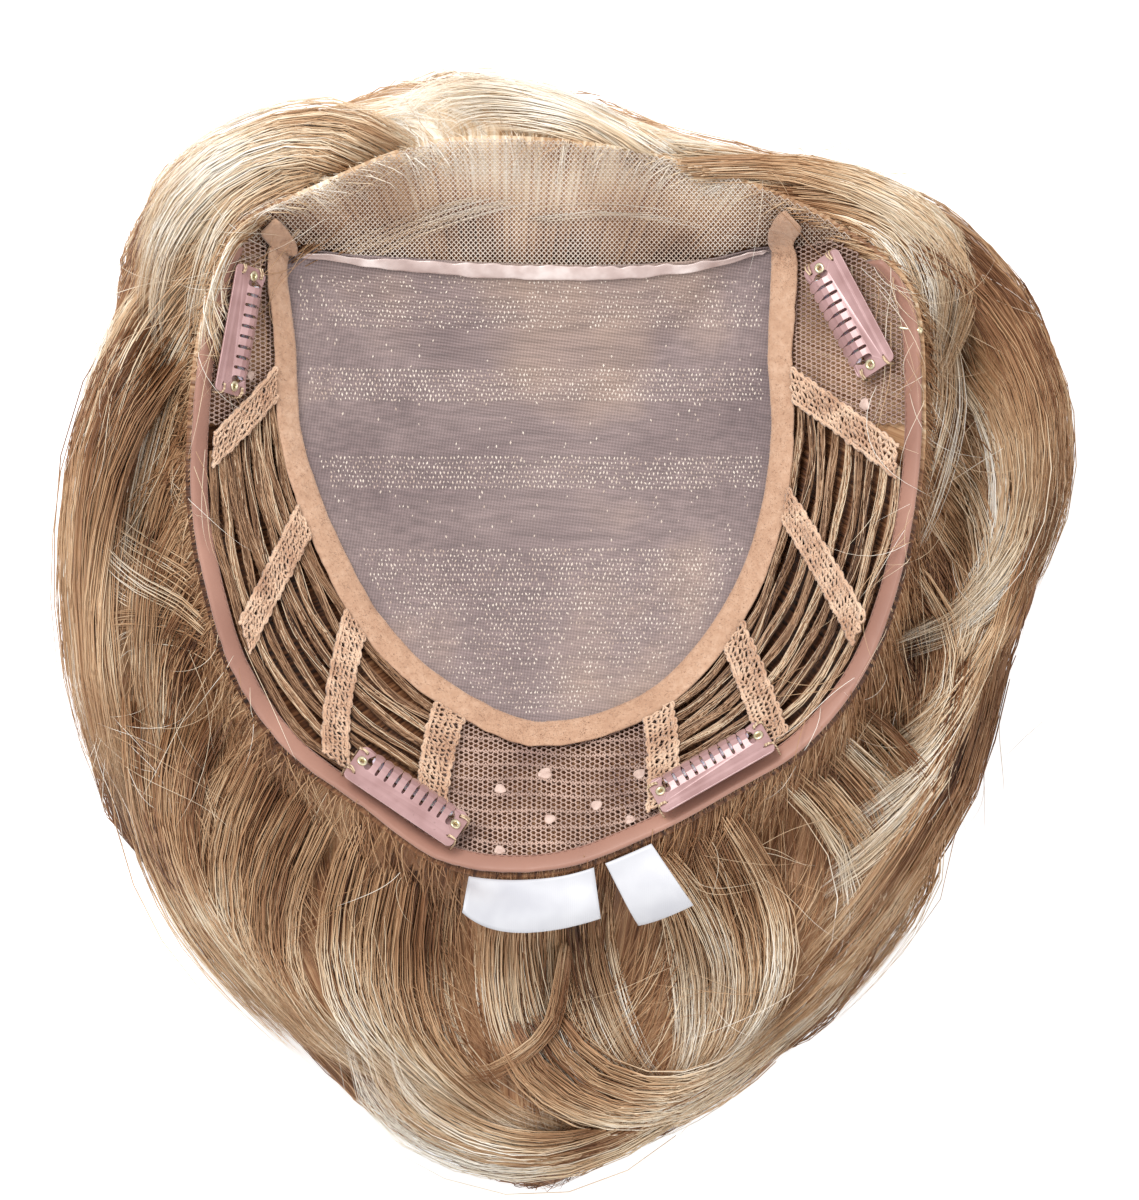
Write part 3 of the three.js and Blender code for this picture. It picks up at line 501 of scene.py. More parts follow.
lean = random.normal(0, 0.3, len(middle))
long_way = np.stack([np.sin(lean), np.cos(lean), 0 * lean], -1) * KNOT_SIZE[1]
wide_way = np.stack([np.cos(lean), -np.sin(lean), 0 * lean], -1) * KNOT_SIZE[0]
size = random.uniform(0.75, 1.25, (len(middle), 1))
rise = np.array([0, 0, KNOT_SIZE[2]])
corners = [-wide_way, -rise + 0 * wide_way, wide_way, rise + 0 * wide_way]
belly = [middle + c * size for c in corners]
ends = [middle - long_way * size, middle + long_way * size]
knot_points = np.stack([ends[0], *belly, ends[1]], 1)
faces = [(0, 2, 1), (0, 3, 2), (0, 4, 3), (0, 1, 4), (5, 1, 2), (5, 2, 3), (5, 3, 4), (5, 4, 1)]
starts = np.arange(len(middle))[:, None, None] * 6
piece(
    "mono_knots",
    (knot_points.reshape(-1, 3), np.zeros((0, 4), int), (starts + np.array(faces)).reshape(-1, 3)),
    knot_hair, smooth=False,
)


# Lace front: a see-through diamond net that is glued or laid on the forehead, sewn to the
# monofilament top. Its threads are twisted nylon, so they are fine, round and dull.

lace_thread = mottled(
    "nylon lace thread", 26.3, [(0.35, "#BFAA9A"), (0.7, "#F2E7DB"), (0.5, "#DDCDBE")],
    detail=3.0, Roughness=0.6,
)

LACE_CELL = (1.3, 1.35)
LACE_THREAD = 0.155  # radius
LACE_LIFT = 0.6

columns, rows = np.meshgrid(
    np.arange(-92, 80, LACE_CELL[0] / 2), np.arange(55, 98, LACE_CELL[1] / 2), indexing="ij"
)
x = columns + 0.25 * waves(columns, rows, 21, 25)
y = rows + 0.25 * waves(columns, rows, 22, 25)
height, reach, station, there = below(x, y)
inside = there & (reach > 0.02) & (station > 17.7) & (station < 24.3)
over_under = 0.07 * np.where((np.arange(x.shape[0])[:, None] % 2) > 0, 1, -1)
net = np.stack([x, y, height + LACE_LIFT + over_under], -1)
crossing = (np.add.outer(np.arange(x.shape[0]), np.arange(x.shape[1])) % 2) == 0
threads = []
for start, end in (
    ((slice(None, -1), slice(None, -1)), (slice(1, None), slice(1, None))),
    ((slice(None, -1), slice(1, None)), (slice(1, None), slice(None, -1))),
):
    use = inside[start] & inside[end] & crossing[start]
    threads.append(np.stack([net[start][use], net[end][use]], 1))
piece("lace_net", tubes(np.concatenate(threads), LACE_THREAD), lace_thread, ["lace_front"])


# Seam strip: a clear pinkish film tape that covers the stitched seam between lace and mesh. It is
# heat-formed and wavy, and its gloss catches the light in white patches.

film = mottled(
    "polyurethane film", 9.1, [(0.35, "#B59E98"), (0.68, "#E4D5D0"), (0.5, "#C6B1AB")],
    detail=3.0, grain=(1.43, 0.3, 0.35), Roughness=0.24, IOR=1.5, Coat_Weight=0.5,
    Coat_Roughness=0.15,
)

STRIP_WIDTH, STRIP_THICK, STRIP_LIFT = 4.1, 0.55, 1.5
STRIP_ENDS = (18.12, 24.05)
STRIP_SECTION = 12
BAND_ROUNDING = (0.55, 0.8)  # of a band's section, sideways and upwards: 1 is round, 0 is square
station = np.linspace(*STRIP_ENDS, 260)
turns = np.arange(STRIP_SECTION) * 2 * math.pi / STRIP_SECTION


def rounded(t, power):
    """One coordinate of a section between an ellipse and a box, from its cosine or sine."""
    return math.copysign(abs(t) ** power, t)


def sewn_band(station, lines, width, thick, lift, ripple, seed, tails=()):
    """The rings of points of a band with rounded edges, one ring across it at each station.

    lines(station, out) gives the reach of a line that runs out mm from the band's middle. Each of
    tails is how far in x and y its first and its last end run on over the cap, and half the width
    that the tail has in plan.
    """
    rings = []
    for t in turns:
        sideways = rounded(math.cos(t), BAND_ROUNDING[0]) * width / 2
        upwards = rounded(math.sin(t), BAND_ROUNDING[1]) * thick / 2
        line = on_cap(station, lines(station, sideways), lift + thick / 2 + upwards)
        wave = ripple * waves(line[:, 0], line[:, 1], seed, 9)
        if sideways > 0:
            wave = wave * 1.4 + ripple * waves(line[:, 0], line[:, 1], seed + 1, 4)
        rings.append(line + np.stack([0.7 * wave, 0.9 * wave, wave], -1))
    rings = np.stack(rings, 1)
    for end, tail in zip((0, -1), tails):
        last, middle = rings[end], rings[end].mean(0)
        ahead = unit((middle - rings[-2 if end else 1].mean(0)) * [1, 1, 0])
        goal = np.array([tail[0], tail[1], 0.0])
        share = np.linspace(0, 1, 12)[1:, None]
        path = share * (1 - share) * np.linalg.norm(goal) * ahead + share**2 * goal
        way = unit(np.gradient(np.concatenate([[[0, 0, 0]], path]), axis=0)[1:])
        offset = last - middle
        across = offset[:, :2] @ [-ahead[1], ahead[0]]
        grown = mix(1, tail[2] / np.abs(across).max(), share)
        grown = grown * np.sqrt(1 - 0.3 * np.clip((share - 0.85) / 0.15, 0, 1) ** 2)
        added = middle + path[:, None] + (1 - share[..., None]) * (offset @ ahead)[:, None] * ahead
        added[..., 0] -= way[:, 1:2] * across * grown
        added[..., 1] += way[:, 0:1] * across * grown
        added[..., 2] += offset[:, 2]
        start_height, _, _, _ = below(last[:, 0], last[:, 1])
        height, _, _, there = below(added[..., 0], added[..., 1])
        added[..., 2] += np.where(there, height - start_height, 0)
        rings = np.concatenate([rings, added] if end else [added[::-1], rings])
    return rings


strip_rings = sewn_band(
    station, off_top, STRIP_WIDTH, STRIP_THICK, STRIP_LIFT, ripple=0.4, seed=31
)
piece("seam_film", skin(strip_rings[None]), film, ["seam_strip"])


# Velour tape: a knitted band with a short soft pile, sewn over the raw edge of the mesh so that
# it doesn't scratch the scalp. The pile blurs its edges and makes it matt and mottled.

velour, tree = new_material("polyester velour")
place = add(tree, "TexCoord").outputs["Object"]
TUFT, WORN_PATCH = 2.38, 16.7  # sizes in mm
pile = add(
    tree, "TexNoise",
    {"Vector": place, "Scale": 1000 / TUFT, "Detail": 4.0, "Roughness": 0.7},
)
worn = add(tree, "TexNoise", {"Vector": place, "Scale": 1000 / WORN_PATCH, "Detail": 2.0})
shade = add(
    tree, "Mix",
    {0: 0.35, 2: pile.outputs["Fac"], 3: worn.outputs["Fac"]},
    data_type="FLOAT",
)
tone = add(
    tree, "ValToRGB", {"Fac": shade.outputs[0]},
    stops=[(0.32, "#AF886E"), (0.68, "#CDAA90"), (0.5, "#BE987D")],
)
raised = add(tree, "Bump", {"Height": pile.outputs["Fac"], "Strength": 0.8, "Distance": 0.0005})
surface(
    tree,
    Base_Color=tone.outputs["Color"],
    Roughness=0.92,
    Normal=raised.outputs["Normal"],
    Sheen_Weight=0.35,
    Sheen_Roughness=0.4,
)

TAPE_ENDS = (-0.85, 17.85)
TAPE_OVERLAP, TAPE_OUTER, TAPE_THICK, TAPE_LIFT = -0.9, 9.4, 1.25, 1.3
tape_middle = (TAPE_OUTER - TAPE_OVERLAP) / 2
tape_width = TAPE_OUTER + TAPE_OVERLAP
station = np.linspace(*TAPE_ENDS, 360)


def tape_reach(station, out):
    """Reach of a line out mm from the tape's middle; it spreads out at the front corners."""
    from_end = np.minimum(station - TAPE_ENDS[0], TAPE_ENDS[1] - station)
    spread = np.where(station < 9, 0.5, 0.35) * np.clip(1 - from_end / 1.7, 0, 1)
    return off_top(station, out * (1 + spread * (out > 0)) + tape_middle + left_bulge(station))


tape_rings = sewn_band(
    station, tape_reach, tape_width, TAPE_THICK, TAPE_LIFT, ripple=0.2, seed=41,
    tails=[(-3.0, 6.5, 3.6), (2.5, 8.0, 4.2)],
)
PILE_COUNT, PILE_LENGTH, PILE_RADIUS = 7000, 0.8, 0.09
random = np.random.default_rng(42)
top = np.arange(STRIP_SECTION // 2 + 1)
places = [-rounded(math.cos(t), BAND_ROUNDING[0]) for t in turns[top]]
row = random.uniform(0, len(tape_rings) - 1.001, PILE_COUNT)
column = np.interp(random.uniform(-1, 1, PILE_COUNT), places, top) * 0.999
i, j = row.astype(int), column.astype(int)
onward, over = (row - i)[:, None], (column - j)[:, None]
corner, ahead, beside = tape_rings[i, j], tape_rings[i + 1, j], tape_rings[i, j + 1]
root = corner + (ahead - corner) * onward + (beside - corner) * over
upright = unit(np.cross(ahead - corner, beside - corner))
upright *= np.where(upright[:, 2:] < 0, -1, 1)
root -= 0.12 * upright
lean = unit(upright + random.normal(0, 0.75, (PILE_COUNT, 3)))
side = unit(np.cross(lean, random.normal(0, 1, (PILE_COUNT, 3))))
other = np.cross(lean, side)
spread = [side, -0.5 * side + 0.87 * other, -0.5 * side - 0.87 * other]
tips = root + lean * PILE_LENGTH * random.uniform(0.5, 1.1, (PILE_COUNT, 1))
spikes = np.stack([*(root + PILE_RADIUS * s for s in spread), tips], 1)
starts = np.arange(PILE_COUNT)[:, None, None] * 4
faces = starts + np.array([(0, 2, 1), (0, 1, 3), (1, 2, 3), (2, 0, 3)])
tape_pile = spikes.reshape(-1, 3), np.zeros((0, 4), int), faces.reshape(-1, 3)
piece("tape", joined(skin(tape_rings[None]), tape_pile), velour, ["velour_tape"])


# Edge ribbon: a smooth satin ribbon folded over the rim and stitched along its inner edge. It is
# woven of fine polyester, so it has a soft sheen along its length.

ribbon_satin = mottled(
    "polyester satin ribbon", 33.3, [(0.3, "#926757"), (0.7, "#AB7E6C")],
    grain=(0.667, 0.2, 0.25), Roughness=0.5, Sheen_Weight=0.2,
)

RIBBON_ENDS = (-0.4, 17.4)
RIBBON_WIDTH, RIBBON_THICK = 5.3, 1.75
station = np.linspace(*RIBBON_ENDS, 460)
ribbon_rings = sewn_band(
    station,
    lambda s, out: from_rim(s, RIBBON_WIDTH / 2 - out),
    RIBBON_WIDTH, RIBBON_THICK, lift=0.02, ripple=0.1, seed=51,
)
STITCH_PITCH, STITCH_RADIUS, STITCH_INSET = 2.3, 0.15, 4.5
round_rim = cap(np.linspace(*RIBBON_ENDS, 900), 1.0)
run = np.concatenate([[0], np.cumsum(np.linalg.norm(np.diff(round_rim, axis=0), axis=1))])
stitch_at = np.arange(2.0, run[-1] - 2, STITCH_PITCH)
stitch_lines = []
for shift, lift in ((-0.8, 1.55), (-0.4, 1.86), (0.4, 1.86), (0.8, 1.55)):
    station = np.interp(stitch_at + shift, run, np.linspace(*RIBBON_ENDS, 900))
    stitch_lines.append(on_cap(station, from_rim(station, STITCH_INSET), lift))
stitches = tubes(np.stack(stitch_lines, 1), STITCH_RADIUS)
piece("ribbon", joined(skin(ribbon_rings[None]), stitches), ribbon_satin, ["edge_ribbon"])


# Nets: warp-knitted nylon tulle behind the front clips and at the nape, which stretches over the
# head. Its six-sided holes show the hair below, which is painted darker there as shade. At the
# nape, rows of weft are sewn under it.

net_thread = mottled(
    "nylon tricot thread", 14.3, [(0.33, "#A5877C"), (0.68, "#D3B4A4"), (0.5, "#BC9E8F")],
    detail=3.0, Roughness=0.75, Sheen_Weight=0.15,
)

STRAPS = {  # stations at the inner and the outer end
    "left_1": (1.45, 2.25), "left_2": (3.4, 4.7), "left_3": (5.0, 6.5), "left_4": (6.8, 7.7),
    "right_4": (10.85, 10.2), "right_3": (12.4, 11.8), "right_2": (14.3, 13.5),
    "right_1": (15.75, 15.4),
}
SEAM_GAP = 0.3


def band(station):
    """Reaches of the edges of the band between the tape and the ribbon."""
    start = off_top(station, TAPE_OUTER + SEAM_GAP + left_bulge(station))
    return start, from_rim(station, RIBBON_WIDTH + SEAM_GAP)


def strap_at(strap, reach):
    inner, outer = STRAPS[strap]
    start, end = band(np.array((inner + outer) / 2))
    return mix(inner, outer, (reach - start) / (end - start))


def honeycomb(low, high, cell, stagger=0.2):
    """Points of a net of six-sided holes, shaped (columns, rows), and its links as index pairs."""
    columns, rows = np.meshgrid(
        np.arange(low[0], high[0], cell[0]), np.arange(low[1], high[1], cell[1] / 2), indexing="ij"
    )
    odd = (np.add.outer(np.arange(columns.shape[0]), np.arange(columns.shape[1])) % 2) > 0
    x = columns + np.where(odd, -stagger, stagger) * cell[0]
    index = np.arange(x.size).reshape(x.shape)
    down = np.stack([index[:, :-1].ravel(), index[:, 1:].ravel()], -1)
    beside = ~odd[:-1]
    over = np.stack([index[:-1][beside], index[1:][beside]], -1)
    return x, rows, np.concatenate([down, over])


NET_CELL, NET_THREAD, NET_LIFT = (1.3, 1.2), 0.28, 0.5
nape_rows_y = np.arange(-98, -62, 3.7)
FRONT_ENDS = (-0.85, 17.85)  # stations where the side nets end at the front corners
for name, node, low, high, ends in [
    ("tulle_left", "net_left", (-98, 20), (-62, 70), (FRONT_ENDS[0], "left_1")),
    ("tulle_nape", "net_nape", (-40, -102), (40, -50), ("left_4", "right_4")),
    ("tulle_right", "net_right", (50, 20), (100, 76), ("right_1", FRONT_ENDS[1])),
]:
    x, y, links = honeycomb(low, high, NET_CELL)
    x = x + 0.22 * waves(x, y, 61, 14)
    y = y + 0.22 * waves(x, y, 62, 14)
    height, reach, station, there = below(x, y)
    station = np.where(station > 20, station - len(STATIONS), station)
    first, last = (
        strap_at(end, reach) if isinstance(end, str) else end for end in ends
    )
    inside = there & (station > first) & (station < last)
    inside &= (reach > from_top(station, 0.5)) & (reach < from_rim(station, RIBBON_WIDTH - 0.3))
    points = np.stack([x, y, height], -1) + NET_LIFT * cap_normal(station, reach)
    inside, points = inside.ravel(), points.reshape(-1, 3)
    links = links[inside[links[:, 0]] & inside[links[:, 1]]]
    solids = [tubes(points[links], NET_THREAD)]
    if node == "net_nape":
        sewn = []
        for row_y in nape_rows_y:
            step = np.arange(-37, 37, 0.45)
            wander = row_y + 2.2 * waves(step, row_y + 0 * step, 63, 40) + 0.0035 * step**2
            zigzag = wander + 0.35 * np.where(np.arange(len(step)) % 2, 1, -1)
            height, reach, station, there = below(step, zigzag)
            line = np.stack([step, zigzag, height], -1)
            line += (NET_LIFT + 0.16) * cap_normal(station, reach)
            inside = there & (station > strap_at("left_4", reach) + 0.05)
            inside &= (station < strap_at("right_4", reach) - 0.05)
            inside &= (reach > from_top(station, TAPE_OUTER - 1))
            inside &= (reach < from_rim(station, RIBBON_WIDTH - 0.3))
            pairs = inside[:-1] & inside[1:]
            sewn.append(np.stack([line[:-1][pairs], line[1:][pairs]], 1))
        solids.append(tubes(np.concatenate(sewn), 0.24))
    piece(name, joined(*solids), net_thread, [node])

# Weld spots: round dabs of clear glue that hold the knots from behind, pale on the net.
glue = mottled("dried fabric glue", 2.0, [(0.3, "#BFA296"), (0.7, "#DCC3B6")], Roughness=0.7)

GLUE_SPOTS = [
    (-14.6, -76.9, 1.6), (-2.6, -72.9, 1.9), (22.5, -72.9, 1.7), (11.1, -81.1, 1.6),
    (-1.3, -84.8, 1.6), (19.9, -84.8, 1.5), (-14.6, -92.8, 1.5), (82.2, 25.2, 1.7),
    (4.5, -93.5, 1.4), (-81.0, 33.0, 1.4),
]
SPOT_SIDES = 14
spots = []
for number, (x, y, radius) in enumerate(GLUE_SPOTS):
    height, reach, station, _ = below(np.array(x), np.array(y))
    up = cap_normal(station, reach)
    side = unit(np.cross(up, [0.0, 1.0, 0.0]))
    fore = np.cross(up, side)
    middle = np.array([x, y, float(height)]) + up * NET_LIFT
    angle = np.arange(SPOT_SIDES) * 2 * math.pi / SPOT_SIDES
    rim = radius * (1 + 0.1 * np.sin(3 * angle + number) + 0.06 * np.sin(5 * angle))
    rings = [
        middle + up * rise + share * rim[:, None] * (
            np.cos(angle)[:, None] * side + np.sin(angle)[:, None] * fore
        )
        for share, rise in ((0.9, 0.05), (1.0, 0.15), (0.85, 0.32), (0.45, 0.42), (0.12, 0.45))
    ]
    spots.append(skin(np.stack(rings)[None][:, :, ::-1]))
piece("glue_spots", joined(*spots), glue)


# Wefts: hair sewn into long rows, folded and twisted over itself, which run round the sides of
# the cap. Strands of many tones show in each row, and dark gaps between the rows, where the mat
# below them is painted dark as shade.


def hair_finish(name, roughness, stops, patch, combed=0):
    """Modacrylic fibre. A strand's tone is its u in the map, and v runs from its root to its tip.

    The tone also shifts a little over patches of a size in mm. On a surface that is combed, v runs
    across the hair instead, and is split into fine streaks.
    """
    made, tree = new_material(name)
    chart = add(tree, "UVMap", uv_map="OFBake").outputs["UV"]
    parts = add(tree, "SeparateXYZ", {"Vector": chart})
    place = add(tree, "TexCoord").outputs["Object"]
    patches = add(tree, "TexNoise", {"Vector": place, "Scale": 1000 / patch, "Detail": 2.0})
    shift = add(
        tree, "MapRange",
        {"Value": patches.outputs["Fac"], "From Min": 0.3, "From Max": 0.7,
         "To Min": -0.09, "To Max": 0.09},
    )
    tone = add(
        tree, "Math", {0: parts.outputs["X"], 1: shift.outputs["Result"]},
        operation="ADD", use_clamp=True,
    )
    looks = {}
    if combed:
        lines = add(
            tree, "TexNoise", {"W": parts.outputs["Y"], "Scale": combed, "Detail": 2.0},
            noise_dimensions="1D",
        )
        spread = add(
            tree, "MapRange",
            {"Value": lines.outputs["Fac"], "From Min": 0.25, "From Max": 0.75,
             "To Min": -0.17, "To Max": 0.15},
        )
        tone = add(
            tree, "Math", {0: tone.outputs[0], 1: spread.outputs["Result"]},
            operation="ADD", use_clamp=True,
        )
        raised = add(
            tree, "Bump", {"Height": lines.outputs["Fac"], "Strength": 0.7, "Distance": 0.0006}
        )
        looks["Normal"] = raised.outputs["Normal"]
    tint = add(tree, "ValToRGB", {"Fac": tone.outputs[0]}, stops=stops)
    surface(
        tree,
        Base_Color=tint.outputs["Color"],
        Roughness=roughness,
        IOR=1.5,
        Specular_IOR_Level=0.4,
        **looks,
    )
    return made


weft_hair = hair_finish(
    "modacrylic hair, sewn in wefts", 0.5,
    [(0.0, "#2C180D"), (1.0, "#E8D2B4"), (0.25, "#66442C"), (0.5, "#977152"), (0.75, "#C29D7C")],
    18.2,
)


def shade_of(tones, steps, sides, rise=0.0, crest_highlight=0.0):
    """The map of tubes: their tone, a little apart round each one, and their length.

    rise makes their tips lighter than their roots, partly the hair's own colour and partly painted
    shade at the roots, and crest lightens them where they bend over, as a painted highlight.
    """
    tones = np.asarray(tones, float)[:, None, None]
    along = np.linspace(0, 1, steps)[None, :, None]
    round_it = np.arange(sides)[None, None, :] * 0.01
    # painted highlight: strands are made lighter where they bend over
    painted_crest_highlight = crest_highlight * np.exp(-(((along - 0.6) / 0.2) ** 2))
    u = np.clip(tones + rise * along + painted_crest_highlight + round_it, 0.01, 0.99)
    v = np.broadcast_to(along, u.shape)
    return np.stack([u, v], -1).reshape(-1, 2)


WEFTS_PER_SIDE, WEFT_WIDTH, WEFT_LIFT, END_GAP = 9, 2.0, 0.2, 0.06
PLY_RADIUS, PLY_OFFSET, PLY_PITCH, PLY_STEPS, PLIES = 0.6, 0.5, 6.5, 76, 3
LOOSE_STRANDS, LOOSE_STEPS, LOOSE_RADIUS = 20, 26, 0.14
random = np.random.default_rng(71)
for side, first, last in (("left", "left_1", "left_4"), ("right", "right_4", "right_1")):
    solids, tones, replaced = [], [], []
    for row in range(WEFTS_PER_SIDE):
        share = row / (WEFTS_PER_SIDE - 1)

        def weft_reach(station):
            start, end = band(station)
            clear = from_top(station, WEFT_WIDTH / 2 + 0.3)
            return mix(start + clear, end - clear, share)

        ends = [
            strap_at(strap, weft_reach(np.array(sum(STRAPS[strap]) / 2))) for strap in (first, last)
        ]
        starts, stops = ends[0] + END_GAP, ends[1] - END_GAP

        def weft_line(count, shift=0.0, rise=0.0):
            station = np.linspace(starts, stops, count)
            wander = 0.55 * np.sin(2.1 * station + 1.7 * row) + 0.4 * np.sin(5 * station + 2 * row)
            reach = weft_reach(station) + from_top(station, 1.0) * (wander * 0.8 + shift)
            return on_cap(station, reach, WEFT_LIFT + WEFT_WIDTH / 2 + rise)

        length = np.linalg.norm(np.diff(weft_line(60), axis=0), axis=1).sum()
        turn = np.linspace(0, 2 * math.pi * length / PLY_PITCH, PLY_STEPS)
        turn = turn + 0.7 * np.sin(np.linspace(0, 9, PLY_STEPS) + row)
        plies = np.stack([
            weft_line(
                PLY_STEPS,
                PLY_OFFSET * np.cos(turn + ply * 2 * math.pi / PLIES + row),
                PLY_OFFSET * np.sin(turn + ply * 2 * math.pi / PLIES + row),
            )
            for ply in range(PLIES)
        ])
        swell = PLY_RADIUS * (1 + 0.18 * random.normal(0, 1, plies.shape[:2]))
        solids.append(tubes(plies, swell, 4))
        base = random.uniform(0.3, 0.62)
        tones.append(shade_of(base + random.normal(0, 0.1, PLIES), PLY_STEPS, 4))
        strands = []
        for _ in range(LOOSE_STRANDS):
            phase = random.uniform(0, 2 * math.pi)
            swing = np.linspace(0, random.uniform(2, 16), LOOSE_STEPS)
            strands.append(
                weft_line(
                    LOOSE_STEPS,
                    1.15 * np.cos(phase + swing) * random.uniform(0.7, 1.25),
                    0.35 + 0.8 * np.abs(np.sin(phase + swing)) * random.uniform(0.6, 1.2),
                )
            )
        solids.append(tubes(np.stack(strands), LOOSE_RADIUS))
        loose_tones = np.clip(random.normal(base + 0.12, 0.24, LOOSE_STRANDS), 0, 1)
        tones.append(shade_of(loose_tones, LOOSE_STEPS, 3))
        replaced.append(f"weft_{side}_{row + 1}")
    piece(
        f"weft_rows_{side}", joined(*solids), weft_hair, replaced, np.concatenate(tones)
    )


# Lace straps: crocheted elastic lace across the wefts, from the tape to the ribbon. It is soft and
# matt, full of small uneven holes, with a looped edge.

crochet = mottled(
    "cotton crochet lace", 6.25, [(0.33, "#BE9578"), (0.68, "#E6C6AA"), (0.5, "#D3AE91")],
    detail=3.0, grain=(0.5556, 0.3, 0.6), Roughness=0.85, Sheen_Weight=0.25,
)

STRAP_WIDTH, STRAP_LIFT = 9.4, 3.0
CROCHET_CELL, CROCHET_THREAD = (1.6, 1.5), 0.47
SCALLOP_PITCH, SCALLOP_RISE = 2.6, 0.7
random = np.random.default_rng(81)
for name, (inner, outer) in STRAPS.items():
    def on_strap(across, share, lift):
        share = np.asarray(share, float)
        middle = mix(inner, outer, share)
        start, end = band(middle)
        reach = mix(start, end, share)
        near = cap(middle + 0.25, reach) - cap(middle - 0.25, reach)
        station = middle + across * 0.5 / np.linalg.norm(near, axis=-1)
        start, end = band(station)
        return on_cap(station, mix(start, end, share), lift)

    line = on_strap(0.0, np.linspace(0, 1, 30), 0.0)
    length = np.linalg.norm(np.diff(line, axis=0), axis=1).sum()
    across, along, links = honeycomb((-4.2, 0.2), (4.3, length - 0.1), CROCHET_CELL, 0.22)
    across = across + random.normal(0, 0.26, across.shape)
    along = along + random.normal(0, 0.26, along.shape)
    bulge = 0.22 * random.normal(0, 1.0, across.shape) + 0.35 * waves(across, along, 82, 12)
    points = on_strap(across, np.clip(along / length, 0, 1), STRAP_LIFT + bulge).reshape(-1, 3)
    # some holes close where the crochet is worked double
    extra = links[random.random(len(links)) < 0.16] + np.array([0, 1])
    extra = extra[extra[:, 1] < len(points)]
    near = np.linalg.norm(points[extra[:, 0]] - points[extra[:, 1]], axis=1) < 2.2
    links = np.concatenate([links, extra[near]])
    thick = CROCHET_THREAD * random.uniform(0.82, 1.22, (len(links), 1))
    edges = []
    share = np.linspace(0.0, 1.0, 72)
    for side in (-1, 1):
        loops = np.abs(np.sin(math.pi * share * length / SCALLOP_PITCH))
        loops = loops + 0.35 * np.sin(share * length * 0.9 + side)
        edge = side * (STRAP_WIDTH / 2 - 0.75 + SCALLOP_RISE * loops)
        edges.append(on_strap(edge, share, STRAP_LIFT))
    edges.append(on_strap(-STRAP_WIDTH / 2 + 0.7, share, STRAP_LIFT + 0.1))
    edges.append(on_strap(STRAP_WIDTH / 2 - 0.7, share, STRAP_LIFT + 0.1))
    piece(
        f"lace_strap_{name}",
        joined(tubes(points[links], thick), tubes(np.stack(edges), 0.34, 4)),
        crochet, [f"strap_{name}"],
    )


# Snap clips: combs stamped from spring steel sheet and enamelled mauve pink, with a bowed bar and a
# silicone grip under the teeth, hollow rivets through the tabs, and thread that sews them on.

# The enamel is smooth and half glossy, with a few rubbed spots where the steel shows through.
enamel, tree = new_material("enamelled spring steel")
place = add(tree, "TexCoord").outputs["Object"]
THIN_PATCH, RUBBED_SPOT = 7.7, 1.11  # sizes in mm
uneven = add(tree, "TexNoise", {"Vector": place, "Scale": 1000 / THIN_PATCH, "Detail": 2.0})
rubbed = add(tree, "TexNoise", {"Vector": place, "Scale": 1000 / RUBBED_SPOT, "Detail": 3.0})
coat = add(
    tree, "ValToRGB", {"Fac": uneven.outputs["Fac"]}, stops=[(0.3, "#A17B79"), (0.7, "#BC9796")]
)
chips = add(
    tree, "MapRange",
    {"Value": rubbed.outputs["Fac"], "From Min": 0.66, "From Max": 0.74, "To Max": 0.5},
)
tint = add(
    tree, "Mix", {0: chips.outputs["Result"], 6: coat.outputs["Color"], 7: colour("#8E6F6B")},
    data_type="RGBA",
)
raised = add(tree, "Bump", {"Height": rubbed.outputs["Fac"], "Strength": 0.12, "Distance": 0.0002})
surface(
    tree, Base_Color=tint.outputs[2], Roughness=0.36, Metallic=0.15,
    Normal=raised.outputs["Normal"], Coat_Weight=0.35, Coat_Roughness=0.25,
)

# Moulded silicone, milky where it is thick, with a wet-looking gloss
silicone = mottled(
    "clear silicone rubber", 3.33, [(0.3, "#C9B9C2"), (0.7, "#E6DCE4")], Roughness=0.22, IOR=1.41,
    Subsurface_Weight=0.3, Subsurface_Scale=0.001,
)

# Plated and tumbled: bright, a little duller where it is worn
WORN_SPOT = 1.43  # mm
plated, tree = new_material("brass plate, pale")
worn = add(
    tree, "TexNoise",
    {"Vector": add(tree, "TexCoord").outputs["Object"], "Scale": 1000 / WORN_SPOT},
)
tint = add(
    tree, "ValToRGB", {"Fac": worn.outputs["Fac"]}, stops=[(0.3, "#C8BC98"), (0.7, "#EFE6C8")]
)
rough = add(
    tree, "MapRange", {"Value": worn.outputs["Fac"], "To Min": 0.2, "To Max": 0.45}
)
surface(
    tree, Base_Color=tint.outputs["Color"], Roughness=rough.outputs["Result"], Metallic=0.85
)

# Twisted of plies 0.6 mm apart, which show as slanting bands
PLY_TWIST = 0.0006
sewing_thread, tree = new_material("polyester sewing thread")
ply = add(
    tree, "TexWave",
    {"Vector": add(tree, "TexCoord").outputs["Object"], "Scale": BAND_PERIOD / PLY_TWIST},
    bands_direction="DIAGONAL",
)
tint = add(
    tree, "ValToRGB", {"Fac": ply.outputs["Fac"]}, stops=[(0.2, "#A98B6E"), (0.8, "#DCC4A2")]
)
surface(tree, Base_Color=tint.outputs["Color"], Roughness=0.7)

CLIP_LENGTH, CLIP_DEPTH, CLIP_TAB, CLIP_TEETH = 34.0, 13.0, 4.4, 9
CLIP_SPINE, CLIP_SHEET, BAR_PLACE, CLIP_BOW = 5.3, 0.5, 7.0, 1.8
clip_half, comb_back = CLIP_LENGTH / 2, -CLIP_DEPTH / 2
rivet_x, rivet_y = clip_half - CLIP_TAB / 2, comb_back + BAR_PLACE
tooth_pitch = (CLIP_LENGTH - 2 * CLIP_TAB) / CLIP_TEETH
slot_root, tooth_tip, tab_end = comb_back + CLIP_SPINE, -comb_back, -comb_back - 1.1


def arc(middle, radii, first, last, count):
    turns = np.radians(np.linspace(first, last, count))
    return [(middle[0] + radii[0] * math.cos(t), middle[1] + radii[1] * math.sin(t)) for t in turns]


